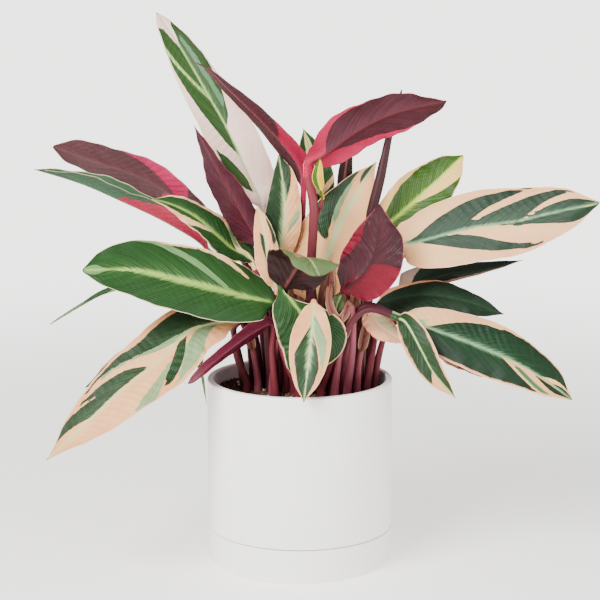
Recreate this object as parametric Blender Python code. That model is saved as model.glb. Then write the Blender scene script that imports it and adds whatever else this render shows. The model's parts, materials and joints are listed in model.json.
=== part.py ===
"""A potted stromanthe: a tricolour prayer plant in a white ceramic cylinder pot that stands in a matching saucer.

Metres, +Z up. The origin is on the table under the middle of the pot, and -Y is the front. The tables below give
lengths in millimetres, which the functions turn into metres as they build.
"""

import math
from typing import NamedTuple

import bpy
import numpy as np

MM = 0.001

# Pot and saucer, in millimetres
OUTER_RADIUS = 75.0
WALL = 5.0
RIM_HEIGHT = 150.0
SEAM_HEIGHT = 27.0
SAUCER_FLOOR = 5.0
EDGE_ROUNDING = 1.2
FOOT_RADIUS = 68.5
FOOT_WALL = 6.5
POT_FLOOR = 6.0
SHOULDER_HEIGHT = 34.0
DRAIN_RADIUS = 6.0
TURN_STEPS = 48

# Soil, in millimetres
SOIL_HEIGHT = 137.0
SOIL_RELIEF = 1.2
SOIL_LUMPS = 3
HOLE_DEPTH = 9.0

SOIL_RING_SHARES = (0.33, 0.66)
HOLE_SIDES = 8

# Clearance between touching pieces, in millimetres
GAP = 0.3

# Leaves: lengths in millimetres, shares of the blade's length
STALK_RINGS = 5
BLADE_RINGS = (0.0, 0.05, 0.13, 0.25, 0.38, 0.52, 0.66, 0.78, 0.89, 0.985)
ACROSS = (-1.0, -0.5, 0.0, 0.5, 1.0)
PATH_STEPS = 16
DIRECTION_REACH = 0.02
STRAIGHT_START = 8.0
BLADE_THICKNESS = 0.9
NECK_SHARE = 0.1
TIP_SHARE = 0.85
TIP_HALF_WIDTH = 0.7
RIB_DEPTH = 0.9
WAVE_FULL_WIDTH = 10.0
WAVE_LAG = 0.3
ROLL_SWELL = 0.5
ROLL_TAPER = 0.4

# Colour (linear red, green, blue) and roughness of each substance
FINISHES = {
    "ceramic": ((0.86, 0.85, 0.83), 0.3),
    "soil": ((0.03, 0.02, 0.015), 0.95),
    "green": ((0.03, 0.13, 0.045), 0.4),
    "blue_green": ((0.015, 0.075, 0.04), 0.4),
    "sage": ((0.27, 0.42, 0.23), 0.4),
    "cream": ((0.8, 0.72, 0.48), 0.4),
    "peach": ((0.86, 0.64, 0.45), 0.4),
    "yellow_green": ((0.3, 0.5, 0.09), 0.4),
    "maroon": ((0.15, 0.035, 0.05), 0.45),
    "crimson": ((0.6, 0.03, 0.07), 0.45),
}
SHARP_ANGLE = 50.0


class Leaf(NamedTuple):
    """One leaf with its stalk. Points are (right, back, up) in millimetres, from the middle of the pot's foot."""

    name: str
    foot: tuple  # where the stalk leaves the soil, right and back
    stalk: list  # points that the stalk passes between the soil and the blade
    rib: list  # points of the midrib, from the neck to the tip
    width: float
    faces: list  # the way the upper side looks, from neck to tip
    fold: tuple = (12, 12)  # degrees that the left and right halves rise from the midrib
    curl: tuple = (-20, -20)  # degrees that each half bends on the way to its margin
    shape: tuple = (0.6, 0.9)  # how fast the outline widens from the neck and narrows to the tip
    wave: tuple = (1.2, 2.5, 0.0)  # the margin's wave: height, number, phase
    stalk_radius: float = 2.2
    upper: str = "green"
    under: str = "maroon"


LEAVES = [
    # Left side, high
    Leaf("leaf_tall", (-12, 20), [(-15, 19, 215)],
         [(-30, 14, 286), (-38, 20, 304), (-57, 34, 344), (-74, 44, 373), (-97, 56, 411), (-117, 62, 440)],
         46, [(0.3, -0.9, 0.3), (0.3, -0.8, 0.4)], shape=(0.55, 0.7), fold=(20, 8), upper="cream"),
    Leaf("leaf_narrow_maroon", (4, 17), [(2, 21, 250)],
         [(3, 10, 304), (0, 7, 320), (-11, 3, 336), (-21, -1, 348), (-36, -9, 364), (-54, -18, 382),
          (-71, -28, 399), (-83, -32, 405)],
         27, [(0.6, 0.5, 0.6), (0.5, 0.4, 0.8)], under="crimson"),
    Leaf("leaf_upright_maroon", (-15, 9), [(-22, 8, 200)],
         [(-32, 4, 255), (-45, 2, 281), (-60, 0, 309), (-72, -4, 333), (-83, -8, 354)],
         34, [(0.45, 0.7, 0.3), (0.5, 0.6, 0.4)]),
    Leaf("leaf_left_maroon", (-24, 18), [(-32, 22, 215)],
         [(-58, 26, 255), (-81, 30, 277), (-104, 31, 295), (-131, 30, 310), (-163, 24, 322), (-198, 16, 335)],
         44, [(0.3, 0.8, 0.55), (0.2, 0.75, 0.6)], shape=(0.6, 0.7), under="crimson"),
    Leaf("leaf_left_folded", (-32, 10), [(-42, 12, 205)],
         [(-72, 12, 250), (-104, 10, 273), (-144, 6, 293), (-175, 2, 307), (-210, -6, 319)],
         34, [(0.1, 0.1, 1.0), (0.1, -0.3, 1.0)], fold=(60, 60), curl=(0, 0), under="crimson"),
    Leaf("leaf_left_cream", (-24, 0), [(-27, 0, 200)],
         [(-38, 9, 241), (-57, 5, 256), (-81, -7, 280), (-101, -14, 292), (-118, -18, 297)],
         32, [(0.1, -0.6, 0.8), (0.1, -0.6, 0.8)], upper="cream"),
    # Left side, low
    Leaf("leaf_big_green", (-1, -20), [(-13, -19, 176)],
         [(-19, -18, 210), (-40, -24, 220), (-70, -32, 230), (-100, -40, 239), (-128, -48, 246), (-167, -60, 247)],
         62, [(0.1, -0.75, 0.65), (0.1, -0.75, 0.65)], shape=(0.45, 0.6), stalk_radius=2.8),
    Leaf("leaf_left_edge_on", (-38, 18), [(-48, 26, 205)],
         [(-82, 32, 224), (-120, 38, 224), (-159, 40, 213), (-182, 42, 200), (-208, 44, 184)],
         34, [(0.1, 0.0, 1.0), (-0.3, 0.0, 1.0)]),
    Leaf("leaf_low_left", (-43, 0), [(-51, -1, 168), (-53, -6, 190)],
         [(-50, -24, 200), (-86, -34, 195), (-110, -52, 174), (-137, -68, 155), (-158, -80, 137), (-193, -98, 107)],
         57, [(-0.1, -0.75, 0.6), (-0.3, -0.75, 0.6)], upper="peach"),
    Leaf("leaf_low_left_back", (-46, 10), [(-53, 12, 180)],
         [(-61, 8, 197), (-93, 8, 187), (-130, 2, 163), (-174, -6, 142)],
         42, [(-0.1, -0.75, 0.6), (-0.3, -0.75, 0.6)], upper="blue_green"),
    Leaf("leaf_low_maroon", (-20, -18), [(-22, -17, 175)],
         [(-22, -16, 197), (-40, -23, 190), (-63, -34, 174), (-88, -44, 154)],
         34, [(-0.3, 0.5, 0.8), (-0.5, 0.4, 0.8)], under="crimson"),
    Leaf("leaf_low_tip", (-36, 28), [(-46, 34, 185), (-64, 30, 208)],
         [(-77, 22, 201), (-86, 24, 186), (-83, 24, 161), (-77, 22, 122)],
         14, [(0.6, -0.4, 0.5), (0.9, -0.3, 0.1)], shape=(0.5, 1.2)),
    # Middle
    Leaf("leaf_front", (6, -38), [(9, -40, 190)],
         [(11, -40, 219), (9, -60, 197), (6, -76, 173), (3, -88, 150)],
         36, [(0.0, -0.6, 0.8), (0.0, -0.95, 0.3)], upper="peach"),
    Leaf("leaf_front_green", (2, -9), [(-3, -13, 185), (-10, -19, 208)],
         [(-16, -28, 228), (-5, -29, 216), (5, -30, 199), (9, -31, 178), (2, -33, 149)],
         50, [(0.0, -0.95, 0.3), (0.0, -1.0, 0.1)], shape=(0.5, 0.8)),
    Leaf("leaf_folded_over", (-5, -7), [(-6, -8, 190), (-11, -14, 212)],
         [(-12, -20, 225), (-5, -26, 237), (1, -34, 248), (8, -50, 256), (13, -66, 257), (16, -84, 251)],
         54, [(0.0, 1.0, 0.2), (0.25, 0.3, 0.9), (0.3, -0.35, 0.9)], shape=(0.45, 0.45), upper="sage"),
    Leaf("leaf_crimson", (41, -6), [(44, -5, 190), (42, -9, 212), (37, -19, 223)],
         [(34, -30, 226), (47, -33, 237), (56, -35, 250), (60, -35, 265), (61, -34, 280), (62, -32, 295)],
         48, [(0.2, 0.95, 0.2), (0.2, 0.95, 0.2)], shape=(0.5, 0.75), under="crimson"),
    Leaf("leaf_centre_left", (-6, 8), [(-12, 5, 190)],
         [(-16, 4, 240), (-13, 6, 273), (-13, 8, 301), (-17, 14, 329)],
         28, [(0.1, -0.95, 0.3), (0.1, -0.95, 0.3)], upper="cream"),
    Leaf("leaf_peach", (-11, -3), [(-11, -5, 190), (-16, -10, 214)],
         [(-19, -15, 225), (-25, -16, 246), (-28, -13, 267), (-34, -8, 292)],
         20, [(0.2, -0.9, 0.3), (0.2, -0.9, 0.3)], upper="peach"),
    Leaf("leaf_centre", (24, 12), [(20, 8, 185)],
         [(12, 3, 210), (15, 4, 229), (23, 6, 253), (33, 10, 278), (47, 16, 300), (62, 24, 322)],
         50, [(-0.1, -0.9, 0.4), (-0.1, -0.9, 0.4)], shape=(0.5, 0.95), upper="cream"),
    Leaf("leaf_upright_back", (14, 24), [(20, 31, 220)],
         [(18, 30, 286), (15, 30, 308), (8, 31, 331), (3, 33, 348)],
         26, [(0.0, -1.0, 0.2), (0.0, -1.0, 0.2)], upper="cream"),
    # Right side, high
    Leaf("leaf_top_maroon", (13, -4), [(10, -10, 190), (9, -15, 240), (11, -16, 290)],
         [(6, -12, 322), (18, -12, 331), (45, -14, 351), (74, -20, 365), (113, -34, 375)],
         44, [(-0.35, 0.85, 0.35), (-0.2, 0.8, 0.5)], shape=(0.6, 0.85), stalk_radius=3.4, under="crimson"),
    Leaf("leaflet", (17, 4), [(17, -2, 200), (18, -9, 250), (22, -17, 288)],
         [(18, -22, 304), (14, -24, 315), (16, -25, 330)],
         8, [(0.0, -1.0, 0.2), (0.0, -1.0, 0.2)], wave=(0, 0, 0), stalk_radius=1.2, upper="yellow_green",
         under="yellow_green"),
    Leaf("leaf_behind_top", (29, 22), [(31, 28, 220)],
         [(34, 30, 287), (36, 30, 303), (38, 28, 322), (42, 26, 339)],
         12, [(0.1, 1.0, 0.2), (0.1, 1.0, 0.2)]),
    Leaf("spear", (43, 16), [(47, 12, 200), (51, 0, 250)],
         [(56, -6, 280), (64, -4, 313), (71, 2, 346), (81, 10, 381)],
         0, [(0.0, -1.0, 0.2), (0.0, -1.0, 0.2)], wave=(0, 0, 0), upper="maroon"),
    Leaf("leaf_yellow_green", (50, 22), [(55, 20, 220)],
         [(63, 14, 263), (82, 16, 282), (107, 20, 304), (132, 26, 327)],
         44, [(-0.1, -0.8, 0.5), (-0.1, -0.8, 0.5)], shape=(0.6, 0.7), upper="yellow_green"),
    Leaf("leaf_big_right", (45, 4), [(54, 4, 205)],
         [(74, -4, 254), (96, -8, 262), (136, -16, 274), (169, -24, 280), (194, -30, 287), (232, -40, 297)],
         60, [(0.1, -0.85, 0.5), (0.1, -0.85, 0.5)], shape=(0.5, 0.65), stalk_radius=2.8, upper="cream"),
    # Right side, low
    Leaf("leaf_dark_right", (56, 14), [(64, 14, 195)],
         [(82, 24, 217), (114, 24, 229), (146, 20, 235), (180, 10, 244)],
         27, [(0.0, -0.5, 1.0), (0.0, -0.5, 1.0)], upper="blue_green"),
    Leaf("leaf_right_upper", (54, -6), [(61, -2, 186)],
         [(68, 0, 212), (97, -2, 217), (129, -6, 214), (163, -14, 204)],
         36, [(0.0, -0.8, 0.6), (0.0, -0.8, 0.6)], upper="blue_green"),
    Leaf("leaf_right_lower", (26, -13), [(38, -18, 188), (52, -22, 212)],
         [(78, -22, 203), (99, -28, 197), (122, -34, 190), (145, -41, 182), (168, -48, 173), (191, -54, 160),
          (212, -60, 145)],
         48, [(0.1, -0.8, 0.55), (0.2, -0.8, 0.55)], shape=(0.6, 0.7), stalk_radius=2.6, upper="blue_green"),
    Leaf("leaf_right_under", (60, 3), [(69, -1, 185)],
         [(84, -4, 197), (109, -8, 182), (135, -14, 163), (154, -18, 152)],
         28, [(0.0, -0.5, 0.9), (0.0, -0.5, 0.9)], upper="blue_green"),
    Leaf("leaf_hanging", (17, -19), [(34, -28, 188), (52, -33, 211)],
         [(76, -34, 205), (84, -40, 201), (95, -50, 182), (104, -56, 166), (121, -62, 147)],
         28, [(-0.2, -0.9, 0.3), (-0.2, -0.9, 0.3)], fold=(35, 35), upper="sage"),
    Leaf("leaf_small_peach", (49, -2), [(50, -3, 185)],
         [(52, -8, 206), (64, -14, 194), (83, -22, 182)],
         24, [(0.1, -0.7, 0.7), (0.1, -0.7, 0.7)], upper="peach"),
    Leaf("leaf_curled_small", (23, -4), [(28, -6, 185), (31, -10, 205)],
         [(33, -16, 219), (30, -20, 214), (28, -24, 205)],
         12, [(0.0, -0.5, 1.0), (-0.5, -0.8, 0.4)], wave=(0, 0, 0), stalk_radius=1.6, upper="sage"),
    # Back
    Leaf("leaf_back_left", (-28, 38), [(-32, 42, 180)],
         [(-40, 52, 205), (-64, 74, 220), (-92, 98, 224), (-118, 122, 216)],
         46, [(-0.2, 0.3, 1.0), (-0.3, 0.6, 0.8)]),
    Leaf("leaf_back_middle", (4, 36), [(4, 42, 190)],
         [(5, 54, 214), (9, 80, 232), (13, 106, 238), (16, 130, 232)],
         46, [(0.0, -0.2, 1.0), (0.0, 0.4, 0.9)], upper="cream"),
    Leaf("leaf_back_upright", (-8, 32), [(-9, 36, 220)],
         [(-12, 40, 250), (-15, 50, 274), (-18, 62, 296), (-20, 78, 312)],
         36, [(0.0, -0.9, 0.4), (0.0, -0.9, 0.4)], upper="cream"),
    Leaf("leaf_back_right", (38, 36), [(42, 40, 190)],
         [(50, 48, 218), (76, 68, 240), (106, 88, 250), (138, 108, 248)],
         46, [(0.2, 0.0, 1.0), (0.3, 0.4, 0.9)], upper="peach"),
    Leaf("leaf_back_low_right", (54, 32), [(60, 36, 180)],
         [(70, 42, 202), (96, 56, 210), (124, 70, 206), (150, 84, 194)],
         40, [(0.2, 0.1, 1.0), (0.4, 0.3, 0.9)], upper="blue_green"),
]


def unit(vector):
    vector = np.asarray(vector, float)
    return vector / np.linalg.norm(vector)


def smooth_path(points, samples):
    """Positions and directions at the samples, as shares of the length, on a smooth curve through the points."""
    points = np.asarray(points, float)
    first = 2 * points[0] - points[1]
    last = 2 * points[-1] - points[-2]
    padded = np.vstack([first, points, last])
    fine = []
    for a, b, c, d in zip(padded, padded[1:], padded[2:], padded[3:]):
        share = np.linspace(0, 1, PATH_STEPS, endpoint=False)[:, None]
        fine.append(0.5 * (2 * b + (c - a) * share + (2 * a - 5 * b + 4 * c - d) * share**2
                           + (3 * b - a - 3 * c + d) * share**3))
    fine = np.vstack(fine + [points[-1:]])
    along = np.concatenate([[0], np.cumsum(np.linalg.norm(np.diff(fine, axis=0), axis=1))])
    wanted = np.asarray(samples) * along[-1]
    reach = DIRECTION_REACH * along[-1]

    def at(distance):
        return np.stack([np.interp(distance, along, fine[:, axis]) for axis in range(3)], axis=1)

    ahead, behind = at(np.minimum(wanted + reach, along[-1])), at(np.maximum(wanted - reach, 0))
    return at(wanted), np.array([unit(step) for step in ahead - behind])


def outline(leaf, share):
    """Half the blade's width at this share of its length."""
    rise, fall = leaf.shape
    widest = rise / (rise + fall)
    full = widest**rise * (1 - widest) ** fall
    return leaf.width / 2 * share**rise * (1 - share) ** fall / full


def cross_section(leaf, share, across):
    """Sideways and upward place of a point across the blade, and the way the surface looks there."""
    side = int(across > 0)
    distance = abs(across)
    bend = math.radians(leaf.fold[side])
    slope = bend + math.radians(leaf.curl[side]) * distance
    middle = (bend + slope) / 2
    half = outline(leaf, share)
    height, number, phase = leaf.wave
    swing = math.sin(2 * math.pi * (number * share + phase + WAVE_LAG * side))
    wave = height * distance**2 * swing * min(half / WAVE_FULL_WIDTH, 1)
    lean = (-math.copysign(math.sin(slope), across), math.cos(slope)) if across else (0.0, 1.0)
    return across * math.cos(middle) * half, distance * math.sin(middle) * half + wave, lean


def leaf_rings(leaf):
    """Closed rings of points from the stalk's foot to the blade's tip: the upper side left to right, then back."""
    foot = np.array([*leaf.foot, SOIL_HEIGHT])
    sunk = foot - (0, 0, HOLE_DEPTH - GAP)
    path = [sunk, foot + (0, 0, STRAIGHT_START / 4), foot + (0, 0, STRAIGHT_START), *leaf.stalk, *leaf.rib]
    steps = np.linalg.norm(np.diff(np.asarray(path, float), axis=0), axis=1)
    above = steps[0] / steps.sum()
    neck = steps[: len(path) - len(leaf.rib)].sum() / steps.sum()
    shares = [0.0] + [above + (neck - above) * n / (STALK_RINGS - 1) for n in range(STALK_RINGS - 1)]
    shares += [neck + (1 - neck) * share for share in BLADE_RINGS]
    places, directions = smooth_path(path, shares)
    rings = []
    for index, (place, along) in enumerate(zip(places, directions)):
        share = 0.0 if index < STALK_RINGS else BLADE_RINGS[index - STALK_RINGS]
        faces = np.asarray(leaf.faces, float)
        at = share * (len(faces) - 1)
        low = min(int(at), len(faces) - 2)
        face = faces[low] + (faces[low + 1] - faces[low]) * (at - low)
        up = unit(face - along * (face @ along))
        right = np.cross(along, up)
        radius = leaf.stalk_radius
        blade = min(share / NECK_SHARE, 1.0)
        if not leaf.width:
            blade = 0.0
            radius *= (1 + ROLL_SWELL * math.sin(math.pi * math.sqrt(share))) * (1 - share) ** ROLL_TAPER
        ring = []
        for under, order in enumerate((ACROSS, ACROSS[::-1])):
            for number, across in enumerate(order):
                angle = math.pi * (1 - (number + 0.5) / len(ACROSS) - under)
                rounded = (right * math.cos(angle) + up * math.sin(angle)) * radius
                sideways, upward, (lean, rise) = cross_section(leaf, share, across)
                if share > TIP_SHARE:
                    sideways = math.copysign(max(abs(sideways), abs(across) * TIP_HALF_WIDTH), across)
                offset = BLADE_THICKNESS / 2 * (1 - 2 * under)
                if under and not across:
                    offset -= radius * (1 - share) * RIB_DEPTH
                flat = right * (sideways + lean * offset) + up * (upward + rise * offset)
                ring.append(place + (1 - blade) * rounded + blade * flat)
        rings.append(ring)
    return np.array(rings) * MM


def skin(rings):
    """Triangles that join the rings, with the ends closed. The two sides of a blade are split alike."""
    count = len(rings[0])
    half = count // 2
    faces = []
    for ring in range(len(rings) - 1):
        here, there = ring * count, (ring + 1) * count
        for side in range(count):
            a, b = here + side, here + (side + 1) % count
            c, d = there + (side + 1) % count, there + side
            faces += [(a, b, c), (a, c, d)] if side < half else [(a, b, d), (b, c, d)]
    last = (len(rings) - 1) * count
    for side in range(half - 1):
        a, b, c, d = side, side + 1, count - 2 - side, count - 1 - side
        faces += [(b, a, d), (b, d, c)]
        faces += [(last + a, last + b, last + c), (last + a, last + c, last + d)]
    return faces


def make_material(name, finish):
    colour, roughness = FINISHES[finish]
    material = bpy.data.materials.new(name)
    material.use_nodes = True
    shader = material.node_tree.nodes["Principled BSDF"]
    shader.inputs["Base Color"].default_value = (*colour, 1)
    shader.inputs["Roughness"].default_value = roughness
    shader.inputs["Metallic"].default_value = 0.0
    return material


def make_object(name, points, faces, materials):
    mesh = bpy.data.meshes.new(name)
    mesh.from_pydata([tuple(point) for point in points], [], faces)
    for material in materials:
        mesh.materials.append(material)
    mesh.update()
    made = bpy.data.objects.new(name, mesh)
    bpy.context.scene.collection.objects.link(made)
    return made


def make_leaf(leaf):
    rings = leaf_rings(leaf)
    upper = make_material(leaf.name + "_upper", leaf.upper)
    under = make_material(leaf.name + "_under", leaf.under)
    made = make_object(leaf.name, rings.reshape(-1, 3), skin(rings), [upper, under])
    first_blade = STALK_RINGS * len(rings[0]) * 2
    for number, face in enumerate(made.data.polygons):
        on_top = number // 2 % len(rings[0]) < len(ACROSS)
        face.material_index = int(number < first_blade or not on_top)
    made.data.shade_smooth()
    made.data.set_sharp_from_angle(angle=math.radians(SHARP_ANGLE))
    return made


def turned(name, profile, material, floor_side=None):
    """A ring of the closed profile, given as (radius, height) in millimetres going down its outer side.

    Two flat discs take the place of the side numbered floor_side, which gives a dish its floor."""
    points, faces = [], []
    for step in range(TURN_STEPS):
        angle = 2 * math.pi * step / TURN_STEPS
        points += [(r * math.cos(angle) * MM, r * math.sin(angle) * MM, z * MM) for r, z in profile]
    count = len(profile)
    for step in range(TURN_STEPS):
        here, there = step * count, (step + 1) % TURN_STEPS * count
        for side in range(count):
            after = (side + 1) % count
            if side != floor_side:
                faces.append((here + side, here + after, there + after, there + side))
    if floor_side is not None:
        faces.append(tuple(range(floor_side, len(points), count))[::-1])
        faces.append(tuple(range(floor_side + 1, len(points), count)))
    made = make_object(name, points, faces, [material])
    made.data.shade_smooth()
    made.data.set_sharp_from_angle(angle=math.radians(SHARP_ANGLE))
    return made


def make_saucer():
    inner = OUTER_RADIUS - WALL
    top = SEAM_HEIGHT - GAP
    cut = EDGE_ROUNDING
    profile = [(inner, top), (OUTER_RADIUS - cut, top), (OUTER_RADIUS, top - cut), (OUTER_RADIUS, cut),
               (OUTER_RADIUS - cut, 0), (inner, SAUCER_FLOOR)]
    return turned("saucer", profile, make_material("saucer_ceramic", "ceramic"), floor_side=len(profile) - 2)


def make_pot():
    inner = OUTER_RADIUS - WALL
    low = SAUCER_FLOOR + GAP
    seam = SEAM_HEIGHT + GAP
    floor = low + POT_FLOOR
    cut = EDGE_ROUNDING
    profile = [(inner + cut, RIM_HEIGHT), (OUTER_RADIUS - cut, RIM_HEIGHT), (OUTER_RADIUS, RIM_HEIGHT - cut),
               (OUTER_RADIUS, seam + cut), (OUTER_RADIUS - cut, seam), (FOOT_RADIUS, seam), (FOOT_RADIUS, low + cut),
               (FOOT_RADIUS - cut, low), (DRAIN_RADIUS, low), (DRAIN_RADIUS, floor),
               (FOOT_RADIUS - FOOT_WALL, floor), (FOOT_RADIUS - FOOT_WALL, SHOULDER_HEIGHT - FOOT_WALL),
               (inner, SHOULDER_HEIGHT), (inner, RIM_HEIGHT - cut)]
    return turned("pot", profile, make_material("pot_ceramic", "ceramic"))


def make_soil(leaves):
    """One body of soil that fills the pot, with a plain blind hole for each stalk."""
    inner = OUTER_RADIUS - WALL - GAP
    narrow = FOOT_RADIUS - FOOT_WALL - GAP
    floor = SAUCER_FLOOR + POT_FLOOR + 2 * GAP
    sides = [(inner, SOIL_HEIGHT), (inner, SHOULDER_HEIGHT + GAP), (narrow, SHOULDER_HEIGHT - FOOT_WALL + GAP),
             (narrow, floor)]
    points = [(0, 0, (SOIL_HEIGHT + SOIL_RELIEF / 2) * MM), (0, 0, floor * MM)]
    for step in range(TURN_STEPS):
        angle = 2 * math.pi * step / TURN_STEPS
        for share in SOIL_RING_SHARES:
            lift = SOIL_RELIEF * math.sin(SOIL_LUMPS * angle + math.tau * share)
            points.append((share * inner * math.cos(angle) * MM, share * inner * math.sin(angle) * MM,
                           (SOIL_HEIGHT + lift) * MM))
        points += [(r * math.cos(angle) * MM, r * math.sin(angle) * MM, z * MM) for r, z in sides]
    count = len(SOIL_RING_SHARES) + len(sides)
    faces = []
    for step in range(TURN_STEPS):
        here, there = 2 + step * count, 2 + (step + 1) % TURN_STEPS * count
        faces.append((0, here, there))
        faces.append((1, there + count - 1, here + count - 1))
        for side in range(count - 1):
            faces += [(here + side, here + side + 1, there + side + 1), (here + side, there + side + 1, there + side)]
    soil = make_object("soil", points, faces, [make_material("potting_soil", "soil")])
    cut = soil.modifiers.new("Stalk holes", "BOOLEAN")
    cut.operation = "DIFFERENCE"
    cut.object = make_hole_cutter(leaves)
    return soil


def make_hole_cutter(leaves):
    """All the stalks' holes as one hidden cutter: upright prisms from the hole's bottom to above the soil."""
    points, faces = [], []
    for leaf in leaves:
        radius = (leaf.stalk_radius + GAP) / math.cos(math.pi / HOLE_SIDES)
        start = len(points)
        for height in (SOIL_HEIGHT - HOLE_DEPTH, SOIL_HEIGHT + HOLE_DEPTH):
            for side in range(HOLE_SIDES):
                angle = 2 * math.pi * side / HOLE_SIDES
                points.append(((leaf.foot[0] + radius * math.cos(angle)) * MM,
                               (leaf.foot[1] + radius * math.sin(angle)) * MM, height * MM))
        faces.append(tuple(range(start, start + HOLE_SIDES))[::-1])
        faces.append(tuple(range(start + HOLE_SIDES, start + 2 * HOLE_SIDES)))
        for side in range(HOLE_SIDES):
            here, there = start + side, start + (side + 1) % HOLE_SIDES
            faces.append((here, there, there + HOLE_SIDES, here + HOLE_SIDES))
    cutter = make_object("stalk_hole_cutter", points, faces, [])
    cutter.hide_render = True
    cutter.display_type = "WIRE"
    return cutter


def main():
    for old in list(bpy.data.objects):
        bpy.data.objects.remove(old)
    make_saucer()
    make_pot()
    make_soil(LEAVES)
    for leaf in LEAVES:
        make_leaf(leaf)


main()
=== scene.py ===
"""The looks of a potted stromanthe: banded leaf tissue, stalks, potting mix and satin ceramic."""

import json
import math
from typing import NamedTuple

import bpy
import numpy as np
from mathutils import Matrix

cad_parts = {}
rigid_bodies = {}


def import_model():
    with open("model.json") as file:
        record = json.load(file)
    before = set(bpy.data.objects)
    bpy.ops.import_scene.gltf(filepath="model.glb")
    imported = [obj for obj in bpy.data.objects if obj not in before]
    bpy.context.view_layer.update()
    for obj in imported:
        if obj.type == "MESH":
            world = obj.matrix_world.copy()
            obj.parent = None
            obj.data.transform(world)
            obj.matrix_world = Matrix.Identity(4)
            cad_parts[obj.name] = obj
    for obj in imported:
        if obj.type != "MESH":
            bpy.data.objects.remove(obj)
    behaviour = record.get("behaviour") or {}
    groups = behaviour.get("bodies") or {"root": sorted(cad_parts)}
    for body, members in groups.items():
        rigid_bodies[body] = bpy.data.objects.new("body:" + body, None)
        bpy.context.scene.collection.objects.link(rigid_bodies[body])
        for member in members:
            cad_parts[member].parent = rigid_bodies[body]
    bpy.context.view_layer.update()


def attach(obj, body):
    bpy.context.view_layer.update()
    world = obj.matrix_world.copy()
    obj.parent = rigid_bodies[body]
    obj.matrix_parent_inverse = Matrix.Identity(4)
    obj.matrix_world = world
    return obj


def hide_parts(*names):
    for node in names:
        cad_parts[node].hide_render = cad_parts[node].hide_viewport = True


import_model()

bl_info = {
    "name": "Potted Stromanthe",
    "version": (1, 0, 0),
    "blender": (4, 5, 0),
    "location": "3D View > Sidebar > Stromanthe",
    "description": "Builds the leaves, soil, pot and saucer of a potted stromanthe over its fixed model",
    "category": "Add Mesh",
}

MM = 0.001
UV_NAME = "OFBake"


def linear(hex_colour):
    """The linear colour, with alpha, of an sRGB hex value."""
    parts = [int(hex_colour[at:at + 2], 16) / 255 for at in (1, 3, 5)]
    return (*[part / 12.92 if part <= 0.04045 else ((part + 0.055) / 1.055) ** 2.4 for part in parts], 1.0)


# Leaves: lengths in millimetres, from the middle of the saucer's underside, as (right, back, up)
SOIL_HEIGHT = 137.0
HOLE_DEPTH = 8.7  # how deep a stalk stands in its hole in the soil
STRAIGHT_START = 8.0  # how far a stalk rises straight out of the soil


class Leaf(NamedTuple):
    """One leaf with its stalk, as the solid has it."""

    name: str
    foot: tuple  # where the stalk leaves the soil, right and back
    stalk: list  # points that the stalk passes between the soil and the blade
    rib: list  # points of the midrib, from the neck to the tip
    width: float  # 0 for a leaf that is still rolled
    faces: list  # the ways that the upper side looks, from neck to tip, or one way
    fold: tuple = (12, 12)  # degrees that the left and right halves rise from the midrib
    curl: tuple = (-20, -20)  # degrees that each half bends on the way to its margin
    shape: tuple = (0.6, 0.9)  # how fast the outline widens from the neck and narrows to the tip
    wave: tuple = (1.2, 2.5, 0.0)  # the margin's wave: height, number, phase
    stalk_radius: float = 2.2
    point: float = 0.14  # share of the blade over which its tip runs out to a point
    far_shape: tuple = ()  # how the left half differs: its shape, and its width against the right half's
    ripple: float = 1.0  # how deep the folds along the side veins are, against the usual


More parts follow.
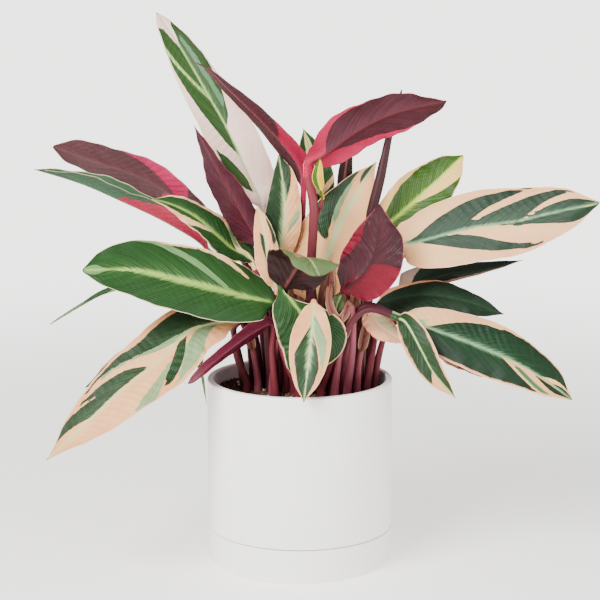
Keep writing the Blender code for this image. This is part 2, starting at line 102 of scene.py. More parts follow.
LEAVES = [
    # Left side, high
    Leaf("leaf_tall", (-12, 20), [(-15, 19, 215)],
         [(-30, 14, 286), (-38, 20, 304), (-57, 34, 344), (-74, 44, 373), (-97, 56, 411), (-117, 62, 440)],
         46, [(0.3, -0.9, 0.3), (0.3, -0.8, 0.4)], shape=(0.2, 0.6), far_shape=(0.35, 0.6, 1), fold=(20, 8),
         point=0.05),
    Leaf("leaf_narrow_maroon", (4, 17), [(2, 21, 250)],
         [(3, 10, 304), (0, 7, 320), (-11, 3, 336), (-21, -1, 348), (-36, -9, 364), (-54, -18, 382),
          (-71, -28, 399), (-83, -32, 405)],
         38, [(0.6, 0.5, 0.6), (0.5, 0.4, 0.8)], shape=(0.4, 1.0), wave=(0.5, 2.0, 0.0)),
    Leaf("leaf_upright_maroon", (-15, 9), [(-22, 8, 200)],
         [(-32, 4, 255), (-45, 2, 281), (-60, 0, 309), (-72, -4, 333), (-83, -8, 354)],
         46, [(0.45, 0.7, 0.3), (0.5, 0.6, 0.4)], shape=(0.35, 0.95), far_shape=(0.25, 1.1, 0.74)),
    Leaf("leaf_left_maroon", (-24, 18), [(-32, 22, 215)],
         [(-58, 26, 255), (-81, 30, 277), (-104, 31, 295), (-131, 30, 310), (-163, 24, 322),
          (-198, 16, 335)],
         44, [(0.3, 0.8, 0.55), (0.2, 0.75, 0.6)], shape=(0.6, 0.55), point=0.08, far_shape=(0.85, 0.5, 1)),
    Leaf("leaf_left_folded", (-32, 10), [(-42, 12, 205)],
         [(-72, 12, 250), (-104, 10, 273), (-144, 6, 293), (-175, 2, 307), (-210, -6, 319)],
         29, [(0.1, 0.1, 1.0), (0.1, -0.3, 1.0)], fold=(60, 60), curl=(0, 0), shape=(0.6, 0.78), point=0.08,
         wave=(1.4, 2.2, 0.6)),
    Leaf("leaf_left_cream", (-24, 0), [(-27, 0, 200)],
         [(-38, 9, 241), (-57, 5, 256), (-81, -7, 280), (-101, -14, 292), (-118, -18, 297)],
         40, [(0.1, -0.6, 0.8)], shape=(0.35, 0.8), far_shape=(0.6, 0.9, 0.8)),
    # Left side, low
    Leaf("leaf_big_green", (-1, -20), [(-13, -19, 176)],
         [(-19, -18, 210), (-40, -24, 220), (-70, -32, 230), (-100, -40, 239), (-128, -48, 246),
          (-167, -60, 247)],
         62, [(0.1, -0.75, 0.65)], shape=(0.45, 0.55), stalk_radius=2.8, point=0.09, ripple=0.55),
    Leaf("leaf_left_edge_on", (-38, 18), [(-48, 26, 205)],
         [(-82, 32, 224), (-120, 38, 224), (-159, 40, 213), (-182, 42, 200), (-208, 44, 184)],
         26, [(0.1, 0.0, 1.0), (-0.3, -0.06, 1.0)], shape=(0.4, 0.4), wave=(0.5, 1.5, 0.0), point=0.05),
    Leaf("leaf_low_left", (-43, 0), [(-51, -1, 168), (-53, -6, 190)],
         [(-50, -24, 200), (-86, -34, 195), (-110, -52, 174), (-137, -68, 155), (-158, -80, 137),
          (-193, -98, 107)],
         57, [(-0.1, -0.75, 0.6), (-0.3, -0.75, 0.6)]),
    Leaf("leaf_low_left_back", (-46, 10), [(-53, 12, 180)],
         [(-61, 8, 197), (-93, 8, 187), (-130, 2, 163), (-174, -6, 142)],
         42, [(-0.1, -0.75, 0.6), (-0.3, -0.75, 0.6)]),
    Leaf("leaf_low_maroon", (-20, -18), [(-22, -17, 175)],
         [(-22, -16, 197), (-40, -23, 190), (-63, -34, 174), (-88, -44, 154)],
         34, [(-0.3, 0.56, 0.76), (-0.5, 0.46, 0.76)], shape=(0.2, 0.45), wave=(0.5, 1.5, 0.0), point=0.05),
    Leaf("leaf_low_tip", (-36, 28), [(-46, 34, 185), (-64, 30, 208)],
         [(-77, 22, 201), (-86, 24, 186), (-83, 24, 161), (-77, 22, 122)],
         14, [(0.6, -0.4, 0.5), (0.9, -0.3, 0.1)], shape=(0.5, 1.2)),
    # Middle
    Leaf("leaf_front", (6, -38), [(9, -40, 190)],
         [(11, -40, 219), (9, -60, 197), (6, -76, 173), (3, -88, 150)],
         32, [(0.0, -0.6, 0.8), (0.0, -0.95, 0.3)], shape=(0.75, 0.85)),
    Leaf("leaf_front_green", (2, -9), [(-3, -13, 185), (-10, -19, 208)],
         [(-16, -28, 228), (-5, -29, 216), (5, -30, 199), (9, -31, 178), (2, -33, 149)],
         50, [(0.0, -0.95, 0.3), (0.0, -1.0, 0.1)], shape=(0.5, 0.55), far_shape=(3.6, 3.0, 1.16)),
    Leaf("leaf_folded_over", (-5, -7), [(-6, -8, 190), (-11, -14, 212)],
         [(-12, -20, 225), (-6, -27, 238), (0, -35, 249), (4, -46, 255), (9, -60, 254), (15, -76, 245)],
         54, [(0.0, 1.0, 0.2), (0.1, 0.7, 0.5), (0.3, -0.2, 1.0), (0.35, -0.5, 0.85), (0.35, -0.6, 0.8)],
         shape=(0.45, 0.45), fold=(10, 16), wave=(2.4, 2.2, 0.3)),
    Leaf("leaf_crimson", (41, -6), [(44, -5, 190), (42, -9, 212), (37, -19, 223)],
         [(34, -30, 226), (47, -33, 237), (56, -35, 250), (60, -35, 265), (61, -34, 280), (62, -32, 295)],
         48, [(0.2, 0.95, 0.2)], shape=(0.5, 0.75), point=0.3, wave=(2.0, 3.2, 0.1), ripple=1.8),
    Leaf("leaf_centre_left", (-6, 8), [(-12, 5, 190)],
         [(-16, 4, 240), (-13, 6, 273), (-13, 8, 301), (-17, 14, 329)],
         28, [(0.1, -0.95, 0.3)], shape=(0.5, 0.6), far_shape=(0.4, 0.9, 1.2)),
    Leaf("leaf_peach", (-11, -3), [(-11, -5, 190), (-16, -10, 214)],
         [(-19, -15, 225), (-25, -16, 246), (-28, -13, 267), (-34, -8, 292)],
         20, [(0.2, -0.9, 0.3)]),
    Leaf("leaf_centre", (24, 12), [(20, 8, 185)],
         [(12, 3, 210), (15, 4, 229), (23, 6, 253), (33, 10, 278), (47, 16, 300), (62, 24, 322)],
         50, [(-0.1, -0.9, 0.4)], shape=(0.5, 0.95), far_shape=(0.3, 0.85, 1.2), ripple=0.6),
    Leaf("leaf_upright_back", (14, 24), [(20, 31, 220)],
         [(18, 30, 286), (15, 30, 308), (8, 31, 331), (3, 33, 348)],
         26, [(0.0, -1.0, 0.2)]),
    # Right side, high
    Leaf("leaf_top_maroon", (13, -4), [(10, -10, 190), (9, -15, 240), (11, -16, 290)],
         [(6, -12, 322), (18, -12, 331), (45, -14, 351), (74, -20, 365), (113, -34, 375)],
         44, [(-0.35, 0.85, 0.35), (-0.2, 0.8, 0.5)], shape=(0.6, 0.88), far_shape=(0.6, 0.62, 1),
         stalk_radius=3.4, point=0.05, wave=(1.8, 2.2, 0.3)),
    Leaf("leaflet", (17, 4), [(14, 0, 190), (11, -7, 240), (12, -9, 275), (18, -16, 295)],
         [(17, -21, 304), (14, -24, 315), (16, -25, 330)],
         9, [(0.0, -1.0, 0.2)], wave=(0, 0, 0), stalk_radius=1.2),
    Leaf("leaf_behind_top", (29, 22), [(31, 28, 220)],
         [(34, 30, 287), (36, 30, 303), (38, 28, 322), (42, 26, 339)],
         12, [(0.1, 1.0, 0.2)]),
    Leaf("spear", (43, 16), [(47, 12, 200), (51, 0, 250)],
         [(56, -6, 280), (64, -4, 313), (71, 2, 346), (81, 10, 381)],
         0, [(0.0, -1.0, 0.2)], wave=(0, 0, 0), stalk_radius=3.0),
    Leaf("leaf_yellow_green", (50, 22), [(55, 20, 220)],
         [(63, 14, 263), (82, 16, 282), (107, 20, 304), (132, 26, 327)],
         44, [(-0.1, -0.8, 0.5)], shape=(0.6, 0.7)),
    Leaf("leaf_big_right", (45, 4), [(54, 4, 205)],
         [(74, -4, 254), (96, -8, 262), (136, -16, 274), (169, -24, 280), (194, -30, 287), (232, -40, 297)],
         60, [(0.1, -0.85, 0.5)], shape=(0.5, 0.65), stalk_radius=2.8, ripple=0.5),
    # Right side, low
    Leaf("leaf_dark_right", (56, 14), [(64, 14, 195)],
         [(82, 24, 217), (114, 24, 229), (146, 20, 235), (180, 10, 244)],
         27, [(0.0, -0.5, 1.0)], shape=(0.22, 0.8), far_shape=(0.25, 1.1, 1.3), wave=(0.5, 1.4, 0.0)),
    Leaf("leaf_right_upper", (54, -6), [(61, -2, 186)],
         [(62, -1, 208), (97, -2, 217), (129, -6, 214), (163, -14, 204)],
         43, [(0.0, -0.8, 0.6)], shape=(0.35, 0.8), far_shape=(0.6, 0.9, 0.62), ripple=0.5),
    Leaf("leaf_right_lower", (26, -13), [(38, -18, 188), (52, -22, 212)],
         [(78, -22, 203), (99, -28, 197), (122, -34, 190), (145, -41, 182), (168, -48, 173),
          (191, -54, 160), (212, -60, 145)],
         48, [(0.1, -0.8, 0.55), (0.2, -0.8, 0.55)], shape=(0.6, 0.7), stalk_radius=3.0),
    Leaf("leaf_right_under", (60, 3), [(69, -1, 185)],
         [(84, -4, 197), (109, -8, 182), (135, -14, 163), (154, -18, 152)],
         28, [(0.0, -0.5, 0.9)]),
    Leaf("leaf_hanging", (17, -19), [(34, -28, 188), (52, -33, 211)],
         [(76, -34, 205), (84, -40, 201), (95, -50, 182), (104, -56, 166), (121, -62, 147)],
         25, [(-0.2, -0.9, 0.3)], fold=(35, 35)),
    Leaf("leaf_small_peach", (49, -2), [(50, -3, 185)],
         [(52, -8, 206), (64, -14, 194), (83, -22, 182)],
         24, [(0.1, -0.7, 0.7)], ripple=0.4),
    Leaf("leaf_curled_small", (23, -4), [(28, -6, 185), (31, -10, 205)],
         [(33, -16, 219), (30, -20, 214), (28, -24, 205)],
         12, [(0.0, -0.5, 1.0), (-0.5, -0.8, 0.4)], wave=(0, 0, 0), stalk_radius=1.6),
    # Back
    Leaf("leaf_back_left", (-28, 38), [(-32, 42, 180)],
         [(-40, 52, 205), (-64, 74, 220), (-92, 98, 224), (-118, 122, 216)],
         46, [(-0.2, 0.3, 1.0), (-0.3, 0.6, 0.8)]),
    Leaf("leaf_back_middle", (4, 36), [(4, 42, 190)],
         [(5, 54, 214), (9, 80, 232), (13, 106, 238), (16, 130, 232)],
         46, [(0.0, -0.2, 1.0), (0.0, 0.4, 0.9)]),
    Leaf("leaf_back_upright", (-8, 32), [(-9, 36, 220)],
         [(-12, 40, 250), (-15, 50, 274), (-18, 62, 296), (-20, 78, 312)],
         36, [(0.0, -0.9, 0.4)]),
    Leaf("leaf_back_right", (38, 36), [(42, 40, 190)],
         [(50, 48, 218), (76, 68, 240), (106, 88, 250), (138, 108, 248)],
         46, [(0.2, 0.0, 1.0), (0.3, 0.4, 0.9)]),
    Leaf("leaf_back_low_right", (54, 32), [(60, 36, 180)],
         [(70, 42, 202), (96, 56, 210), (124, 70, 206), (150, 84, 194)],
         40, [(0.2, 0.1, 1.0), (0.4, 0.3, 0.9)]),
]

# Dry sheaths that wrap the stalks near the soil, which the scene alone has. Each is a leaf of one of three
# makes, given as (name, foot, stalk, midrib, width, faces, the margin wave's height and phase, make)
NARROW_SHEATH = {"fold": (40, 40), "shape": (0.4, 0.9)}
BROAD_SHEATH = {"fold": (30, 30), "shape": (0.3, 0.7)}
CURLED_SHEATH = {"fold": (20, 20), "shape": (0.3, 0.5)}
SHEATHS = [
    Leaf("sheath_" + name, foot, stalk, rib, width, faces, wave=(height, 2, phase), **make)
    for name, foot, stalk, rib, width, faces, height, phase, make in (
        ("front", (28, -22), [(31, -26, 170)], [(34, -27, 186), (37, -26, 202), (40, -24, 220)],
         11, [(0.1, -1, 0.1)], 0.6, 0, NARROW_SHEATH),
        ("middle", (34, -14), [(37, -16, 176)], [(40, -17, 196), (43, -16, 212), (45, -15, 232)],
         12, [(0.1, -1, 0.1), (0.2, -1, 0.1)], 0.8, 0.3, NARROW_SHEATH),
        ("left", (-22, -8), [(-20, -12, 168)], [(-18, -14, 184), (-17, -15, 200), (-18, -14, 216)],
         11, [(0, -1, 0.1)], 0.6, 0.2, NARROW_SHEATH),
        ("far_left", (-34, 4), [(-36, 2, 160)], [(-38, 1, 172), (-41, 1, 186), (-45, 2, 200)],
         10, [(-0.2, -1, 0.1)], 0.6, 0.5, NARROW_SHEATH),
        ("right", (46, -12), [(47, -13, 160)], [(49, -13, 174), (52, -12, 190), (54, -12, 204)],
         10, [(0.2, -1, 0.1)], 0.6, 0.7, NARROW_SHEATH),
        ("curled", (38, -22), [(42, -25, 180), (42, -26, 205)],
         [(39, -27, 216), (36, -28, 207), (31, -29, 203), (26, -29, 208), (23, -28, 219), (25, -27, 233)],
         7, [(0, -1, 0.1)], 0.3, 0, CURLED_SHEATH),
        ("behind_curled", (34, 4), [(36, 4, 180)], [(37, 5, 196), (38, 5, 216), (39, 4, 240)],
         17, [(0, -1, 0.1)], 0.6, 0.2, BROAD_SHEATH),
        ("inner", (19, 8), [(19, 6, 180)], [(20, 4, 198), (22, 1, 222), (25, -2, 246)],
         15, [(0, -1, 0.1)], 0.6, 0.8, BROAD_SHEATH),
        ("middle_left", (-3, 8), [(-2, 6, 185)], [(-2, 5, 200), (-3, 5, 216), (-5, 6, 238)],
         14, [(0, -1, 0.1)], 0.6, 0.9, BROAD_SHEATH),
        ("back", (4, 30), [(5, 33, 165)], [(6, 35, 182), (8, 37, 200), (11, 39, 218)],
         12, [(0, 1, 0.1)], 0.6, 0.4, NARROW_SHEATH),
        ("back_left", (-22, 30), [(-24, 33, 165)], [(-26, 35, 180), (-29, 38, 196), (-33, 41, 212)],
         11, [(-0.2, 1, 0.1)], 0.6, 0.1, NARROW_SHEATH),
        ("back_right", (44, 28), [(47, 30, 165)], [(50, 32, 180), (54, 34, 196), (59, 37, 210)],
         11, [(0.3, 1, 0.1)], 0.6, 0.6, NARROW_SHEATH))]

# Colours of each kind of leaf skin: two pale tones, two greens, sage, the midrib and the margin. The kinds
# that are named beneath are what they turn to on the underside. The shaded kind is painted shade: a greyer,
# darker cream and margin than the deep kind has, for a leaf that lies in the shade of others
TONE_NAMES = ("pale", "flush", "green", "dark", "sage", "rib", "margin")
TONES = {kind: dict(zip(TONE_NAMES, colours.split())) for kind, colours in (
    ("pink", "#f0d2c4 #e8b8aa #32501e #0a2a0e #56785c #a3c474 #f2ddc0"),
    ("fresh", "#e2c890 #dea478 #1f481c #0d2b11 #6b8c5a #98bb58 #efdcb0"),
    ("peach", "#eab47a #e09462 #0e3412 #051e09 #869e70 #b4cc90 #f3d0a4"),
    ("blue", "#eaba7e #dea072 #0a2d13 #021408 #44704a #76a276 #f3d2a8"),
    ("deep", "#e0a870 #d88e62 #102e16 #06140a #22422a #183420 #7a6a50"),
    # painted shade: the deep kind's cream and margin, greyed and darkened for a leaf in shade
    ("shaded", "#b49c88 #a08270 #0e2a14 #051208 #2c4a34 #16301c #5a4a3c"),
    ("lime", "#e6c660 #e2a870 #345a00 #183802 #7e9e20 #acd050 #f0cf9a"),
    ("young", "#c8a204 #cc9410 #446408 #284606 #8ea030 #c4b83c #dcc060"),
    ("papery", "#b08a68 #a87a60 #7a4038 #4c2420 #8c5a4a #6a3434 #c4a080"),
    ("muted", "#c9bb92 #c9a888 #46664a #28442c #6a8862 #8ba37c #d9cfa6"),
    ("coral", "#f6bc94 #f0a480 #8ea068 #a08a64 #d6c496 #eec29a #7a4a38"),
    ("sage", "#a08a64 #8c5c48 #2c4a24 #152e12 #586c42 #a9bb78 #5b4030"),
    ("maroon beneath", "#a00434 #b41c48 #501b29 #2c0b15 #54242a #5c1c28 #8c2a38"),
    ("dusty beneath", "#9c083c #b81c54 #5a2f34 #3c1d21 #5c3838 #64343a #c08a80"),
    ("rose beneath", "#a01838 #b83054 #782a40 #58182b #8a4a54 #984a5c #a85468"),
    ("red beneath", "#8c0430 #ac1044 #4e1c28 #2e0c14 #541820 #7a3844 #a03048"),
    ("crimson beneath", "#580014 #740020 #40101c #24070e #541820 #26070d #b04058"),
    ("green beneath", "#921230 #a82a44 #3a593f #223a26 #587456 #6a8062 #c0b088"),
    ("black beneath", "#34090f #44151b #180302 #080000 #260c0c #6a3836 #4a3030"))}


class Marks(NamedTuple):
    """The colour bands of one leaf.

    A band is (tone, half, station, ...), with half 1 for the right one, -1 for the left one and 0 for both.
    A station is (out, near, far): how far out from midrib to margin it lies, and between which two points of
    the midrib the veins start that bound the band.
    """

    above: str
    ground: str  # the tone that shows where no band lies
    bands: list = []
    beneath: str = "maroon beneath"


MARKS = {
    "leaf_tall": Marks("pink", "pale", [
        ("green", -1, (0, 0.25, 0.8), (0.3, 0.24, 0.8), (0.6, 0.3, 0.78), (0.88, 0.46, 0.72),
         (1, 0.56, 0.66)),
        ("green", -1, (0.15, 0.03, 0.11), (0.5, -0.02, 0.12), (0.8, -0.03, 0.1)),
        ("green", 1, (0, 0.4, 0.6), (0.3, 0.36, 0.6), (0.7, 0.38, 0.58), (0.93, 0.44, 0.58)),
        ("green", 1, (0, 0.6, 0.82), (0.5, 0.58, 0.78), (0.93, 0.56, 0.7)),
        ("sage", 1, (0.3, 0.4, 0.76), (0.52, 0.38, 0.72)), ("rib", -1, (0, 0.53, 0.56), (1, 0.54, 0.585)),
        ("pale", 0, (0, 0.86, 1.0), (0.5, 0.78, 1.0), (1, 0.66, 1.0))]),
    "leaf_narrow_maroon": Marks("fresh", "green", [
        ("pale", -1, (0, -0.3, 0.33), (0.4, -0.3, 0.27), (1, -0.3, 0.2)),
        ("pale", 1, (0, -0.3, 0.1), (0.4, -0.3, -0.1))], "red beneath"),
    "leaf_upright_maroon": Marks("fresh", "green"),
    "leaf_left_maroon": Marks("fresh", "green", [
        ("pale", -1, (0.03, 0.28, 0.33), (0.3, 0.22, 0.35), (0.6, 0.15, 0.37), (0.85, 0.09, 0.4),
         (1, 0.05, 0.43)),
        ("pale", 1, (0, 0.31, 0.39), (0.3, 0.27, 0.33), (0.5, 0.24, 0.27))], "dusty beneath"),
    "leaf_left_folded": Marks("muted", "green", [
        ("pale", 0, (0, -0.3, 0.56), (0.4, -0.3, 0.42), (0.8, -0.3, 0.14))], "green beneath"),
    "leaf_left_cream": Marks("fresh", "pale", [
        ("green", 1, (0, 0.16, 0.97), (0.5, 0.12, 0.93), (0.82, 0.14, 0.8)),
        ("sage", 1, (0.2, 0.09, 0.14), (0.9, 0.0, 0.1)),
        ("green", 1, (0.25, -0.06, 0.06), (0.75, -0.16, 0.02)),
        ("green", -1, (0.04, 0.46, 0.96), (0.4, 0.52, 0.9), (0.62, 0.62, 0.84)),
        ("green", -1, (0.04, 0.0, 0.4), (0.5, -0.12, 0.39), (0.92, -0.24, 0.42)),
        ("rib", 0, (0, 0.2, 0.95), (0.05, 0.2, 0.9))]),
    "leaf_big_green": Marks("fresh", "green", [
        ("sage", 1, (0.04, 0.23, 0.27), (0.4, 0.25, 0.32), (0.7, 0.28, 0.37), (0.9, 0.32, 0.42),
         (1, 0.36, 0.5)),
        ("pale", 1, (0.55, -0.015, 0.01), (0.8, -0.01, 0.06), (1, 0.0, 0.17)),
        ("rib", -1, (0, 0.04, 0.9), (0.13, 0.12, 0.7)), ("pale", 1, (0.93, 0.16, 0.36), (1, 0.16, 0.38)),
        ("sage", 0, (0, 0.88, 1), (1, 0.76, 1))]),
    "leaf_left_edge_on": Marks("fresh", "green", [
        ("sage", 0, (0, 0.3, 0.5), (1, 0.1, 0.3)),
        ("sage", 0, (0, 0.7, 0.9), (1, 0.6, 0.8))], "green beneath"),
    "leaf_low_left": Marks("peach", "pale", [
        ("green", 1, (0.05, 0.0, 0.25), (0.3, -0.15, 0.28), (0.6, -0.3, 0.31), (0.8, -0.3, 0.39),
         (0.93, -0.3, 0.5)),
        ("sage", 1, (0.0, 0.2, 0.28), (0.5, 0.28, 0.32), (0.85, 0.36, 0.43)),
        ("green", 1, (0.06, 0.42, 0.74), (0.4, 0.4, 0.74), (0.7, 0.47, 0.71), (0.93, 0.6, 0.67)),
        ("pale", 1, (0.5, 0.53, 0.555), (0.9, 0.54, 0.59)), ("pale", 1, (0.82, -0.3, 0.2), (1, -0.3, 0.26)),
        ("sage", -1, (0.03, 0.08, 0.16), (0.9, -0.06, 0.12)),
        ("green", -1, (0.1, 0.2, 0.26), (0.45, 0.17, 0.28), (0.8, 0.2, 0.24)),
        ("sage", -1, (0.3, 0.14, 0.18), (0.9, 0.12, 0.18)),
        ("sage", -1, (0.2, 0.28, 0.3), (0.6, 0.27, 0.35), (0.97, 0.24, 0.38))]),
    "leaf_low_left_back": Marks("deep", "green", [("pale", 0, (0.88, -0.3, 0.9), (1, -0.3, 0.9))]),
    "leaf_low_maroon": Marks("fresh", "green", [], "rose beneath"),
    "leaf_low_tip": Marks("fresh", "sage", [("green", 0, (0, 0.6, 1), (1, 0.5, 1))]),
    "leaf_front": Marks("peach", "pale", [
        ("green", 1, (0, 0.22, 0.99), (0.45, 0.3, 0.92), (0.72, 0.36, 0.8)),
        ("green", -1, (0, 0.3, 0.99), (0.4, 0.42, 0.92), (0.6, 0.5, 0.78)),
        ("sage", -1, (0.03, 0.12, 0.28), (0.4, 0.12, 0.38), (0.8, 0.2, 0.52)),
        ("rib", 0, (0, 0.16, 0.72), (0.06, 0.2, 0.66))]),
    "leaf_front_green": Marks("fresh", "green", [("pale", 0, (0.95, -0.3, 0.9), (1, -0.3, 0.9))]),
    "leaf_folded_over": Marks("sage", "sage", [
        ("green", -1, (0.5, 0.08, 0.4), (0.85, 0.1, 0.35)),
        ("pale", -1, (0.3, 0.1, 0.6), (0.5, 0.12, 0.55)), ("pale", 1, (0.15, 0.5, 0.64), (0.6, 0.5, 0.62)),
        ("green", 0, (0, 0.9, 1), (1, 0.7, 1)), ("green", 1, (0.75, 0, 1), (1, 0, 1))], "black beneath"),
    "leaf_crimson": Marks("fresh", "green", [
        ("pale", -1, (0, -0.3, 0.4), (0.5, -0.3, 0.31), (1, -0.3, 0.18)),
        ("pale", 1, (0, -0.3, 0.3), (0.28, -0.3, 0)),
        ("pale", 1, (0.62, 0.44, 0.52), (0.8, 0.1, 0.58), (1, -0.1, 0.62))], "crimson beneath"),
    "leaf_centre_left": Marks("peach", "pale", [
        ("green", -1, (0, 0.1, 1), (0.5, 0.04, 1), (1, 0.0, 1)),
        ("green", 1, (0.04, 0.54, 1), (1, 0.62, 0.9)), ("sage", 1, (0.3, 0.22, 0.3), (0.9, 0.18, 0.28)),
        ("rib", 0, (0, 0.1, 0.8), (0.06, 0.1, 0.7))]),
    "leaf_peach": Marks("peach", "pale", [
        ("green", -1, (0, 0.29, 0.62), (0.4, 0.42, 0.56)),
        ("green", 1, (0.65, 0.32, 0.6), (1, 0.28, 0.58))]),
    "leaf_centre": Marks("peach", "pale", [
        ("green", -1, (0.14, 0.36, 0.41), (0.3, 0.33, 0.52), (0.5, 0.31, 0.62), (0.8, 0.28, 0.66),
         (0.97, 0.28, 0.62)),
        ("sage", -1, (0.12, 0.44, 0.56), (0.34, 0.5, 0.66), (0.56, 0.6, 0.7)),
        ("green", -1, (0.12, 0.78, 0.92), (0.5, 0.75, 0.86), (0.82, 0.72, 0.78)),
        ("rib", 1, (0, 0.2, 0.8), (0.14, 0.3, 0.7))]),
    "leaf_upright_back": Marks("fresh", "green", [
        ("pale", 0, (0, 0.6, 1), (0.35, 0.55, 0.9)), ("pale", 0, (0, 0.12, 0.2), (1, 0.0, 0.08))]),
    "leaf_top_maroon": Marks("fresh", "green", [
        ("pale", 1, (0, -0.3, 0.14), (0.4, -0.3, 0.08), (0.7, -0.3, 0.06), (0.85, -0.3, 0.1),
         (1, -0.3, 0.32)),
        ("pale", -1, (0, -0.3, 0.12), (0.5, -0.3, 0.16), (0.7, -0.3, 0.26), (0.86, -0.3, 0.38),
         (1, -0.3, 0.52))]),
    "leaflet": Marks("young", "pale", [("green", -1, (0, -0.3, 1), (1, -0.3, 1))], "young"),
    "leaf_behind_top": Marks("fresh", "sage", [], "black beneath"),
    "spear": Marks("fresh", "green"),
    "leaf_yellow_green": Marks("lime", "pale", [
        ("green", -1, (0, 0.03, 0.99), (0.35, 0.03, 0.96), (0.6, 0.1, 0.91), (0.8, 0.24, 0.85),
         (0.92, 0.42, 0.78)),
        ("green", 1, (0, -0.1, 0.36), (0.3, 0.0, 0.46), (0.6, 0.0, 0.55), (0.86, 0.06, 0.6),
         (0.96, 0.2, 0.58)),
        ("rib", 1, (0, 0.04, 0.62), (0.1, 0.08, 0.5))]),
    "leaf_big_right": Marks("blue", "pale", [
        ("green", -1, (0, 0.06, 0.335), (0.5, 0.1, 0.345), (0.75, 0.19, 0.39), (1, 0.38, 0.45)),
        ("green", -1, (0, 0.3, 0.63), (0.14, 0.33, 0.63), (0.2, 0.385, 0.63), (0.42, 0.42, 0.63),
         (0.7, 0.5, 0.64), (0.92, 0.57, 0.65)),
        ("green", -1, (0, 0.64, 0.94), (0.35, 0.7, 0.93), (0.7, 0.78, 0.9)),
        ("green", 1, (0, 0.15, 0.24), (0.12, 0.13, 0.3), (0.3, 0.15, 0.35), (0.5, 0.17, 0.38),
         (0.72, 0.24, 0.44), (0.92, 0.42, 0.48)),
        ("green", 1, (0.03, 0.5, 0.9), (0.12, 0.55, 0.9), (0.2, 0.62, 0.9), (0.4, 0.66, 0.88),
         (0.96, 0.68, 0.82)),
        ("sage", 0, (0, 0.94, 1), (1, 0.9, 1)), ("sage", -1, (0.25, 0.84, 0.87), (0.6, 0.85, 0.9))]),
    # this leaf's cream and margin are painted shade, in the shaded kind of skin
    "leaf_dark_right": Marks("shaded", "green", [
        ("pale", 0, (0, -0.3, 0.1), (1, -0.3, -0.04)), ("sage", 1, (0.4, 0.3, 1), (0.7, 0.3, 1)),
        ("pale", 1, (0.78, 0.0, 1), (1, 0.0, 1))]),
    "leaf_right_upper": Marks("deep", "green", [
        ("pale", -1, (0.66, -0.3, -0.05), (0.8, -0.3, 0.08), (1, -0.3, 0.28))]),
    "leaf_right_lower": Marks("blue", "pale", [
        ("green", -1, (0, 0.16, 0.8), (0.3, 0.15, 0.78), (0.6, 0.15, 0.76), (0.82, 0.22, 0.73),
         (0.94, 0.36, 0.68)),
        ("green", 1, (0.05, 0.1, 0.56), (0.5, 0.02, 0.57), (0.93, 0.0, 0.58)),
        ("sage", 1, (0.15, 0.6, 0.65), (0.85, 0.61, 0.68)), ("rib", 0, (0, -0.1, 0.16), (0.3, -0.15, 0.06)),
        ("rib", 1, (0, 0.12, 0.7), (0.05, 0.2, 0.6)), ("green", 1, (0.1, 0.74, 0.93), (0.6, 0.75, 0.88)),
        ("green", -1, (0, 0.86, 0.99), (0.6, 0.8, 0.9))]),
    "leaf_right_under": Marks("deep", "green", [("pale", 0, (0.88, -0.3, 0.9), (1, -0.3, 0.9))]),
    "leaf_hanging": Marks("peach", "green", [
        ("pale", 0, (0.85, -0.3, 0.6), (1, -0.3, 0.9)), ("pale", 1, (0, 0.66, 0.9), (1, 0.5, 0.85))]),
    "leaf_small_peach": Marks("coral", "pale", [
        ("sage", -1, (0.1, 0.2, 0.62), (0.5, 0.12, 0.64), (0.8, 0.1, 0.52))], "red beneath"),
    "leaf_curled_small": Marks("sage", "sage", [("green", 0, (0.6, 0, 1), (1, 0, 1))], "dusty beneath"),
    "leaf_back_left": Marks("fresh", "pale"),
    "leaf_back_middle": Marks("blue", "pale"),
    "leaf_back_upright": Marks("pink", "pale"),
    "leaf_back_right": Marks("peach", "pale"),
    "leaf_back_low_right": Marks("blue", "pale"),
}
MARKS.update({sheath.name: Marks("papery", "sage", [], "papery") for sheath in SHEATHS})
DARK_STALKS = ("spear", "leaf_behind_top", "leaf_front_green", "leaf_low_left_back")
ARCHED_STALKS = ("leaf_right_lower", "leaf_hanging")
BAND_TONES = ("green", "sage", "pale", "rib")
FAR_MM = 40.0  # stands for the distance from a band that is nowhere near


# Settings that a user would change

class StageSettings(bpy.types.PropertyGroup):
    floor_colour: bpy.props.FloatVectorProperty(
        name="Floor colour", description="Colour of the plain pale floor", subtype="COLOR", size=4, min=0,
        max=1, default=linear("#e6e4e1"))
    backdrop_colour: bpy.props.FloatVectorProperty(
        name="Backdrop colour", description="Colour of the air around the object", subtype="COLOR", size=4,
        min=0, max=1, default=linear("#f4f4f2"))
    floor_radius: bpy.props.FloatProperty(
        name="Floor radius", description="How far the floor reaches before it fades into the backdrop",
        default=1.4, min=0.5, unit="LENGTH")
    key_power: bpy.props.FloatProperty(
        name="Key light power", description="Power of the large soft light at the front left", default=72.0,
        min=0, unit="POWER")
    fill_power: bpy.props.FloatProperty(
        name="Fill light power", description="Power of the soft light at the right", default=14.0, min=0,
        unit="POWER")
    air_strength: bpy.props.FloatProperty(
        name="Air strength", description="Brightness of the even light from all round", default=0.62, min=0)
    floor_glow: bpy.props.FloatProperty(
        name="Floor glow", description="How strongly the floor shines by itself", default=1.3, min=0)
    backdrop_glow: bpy.props.FloatProperty(
        name="Backdrop glow", description="Brightness of the backdrop that the floor fades into", default=3.6,
        min=0)


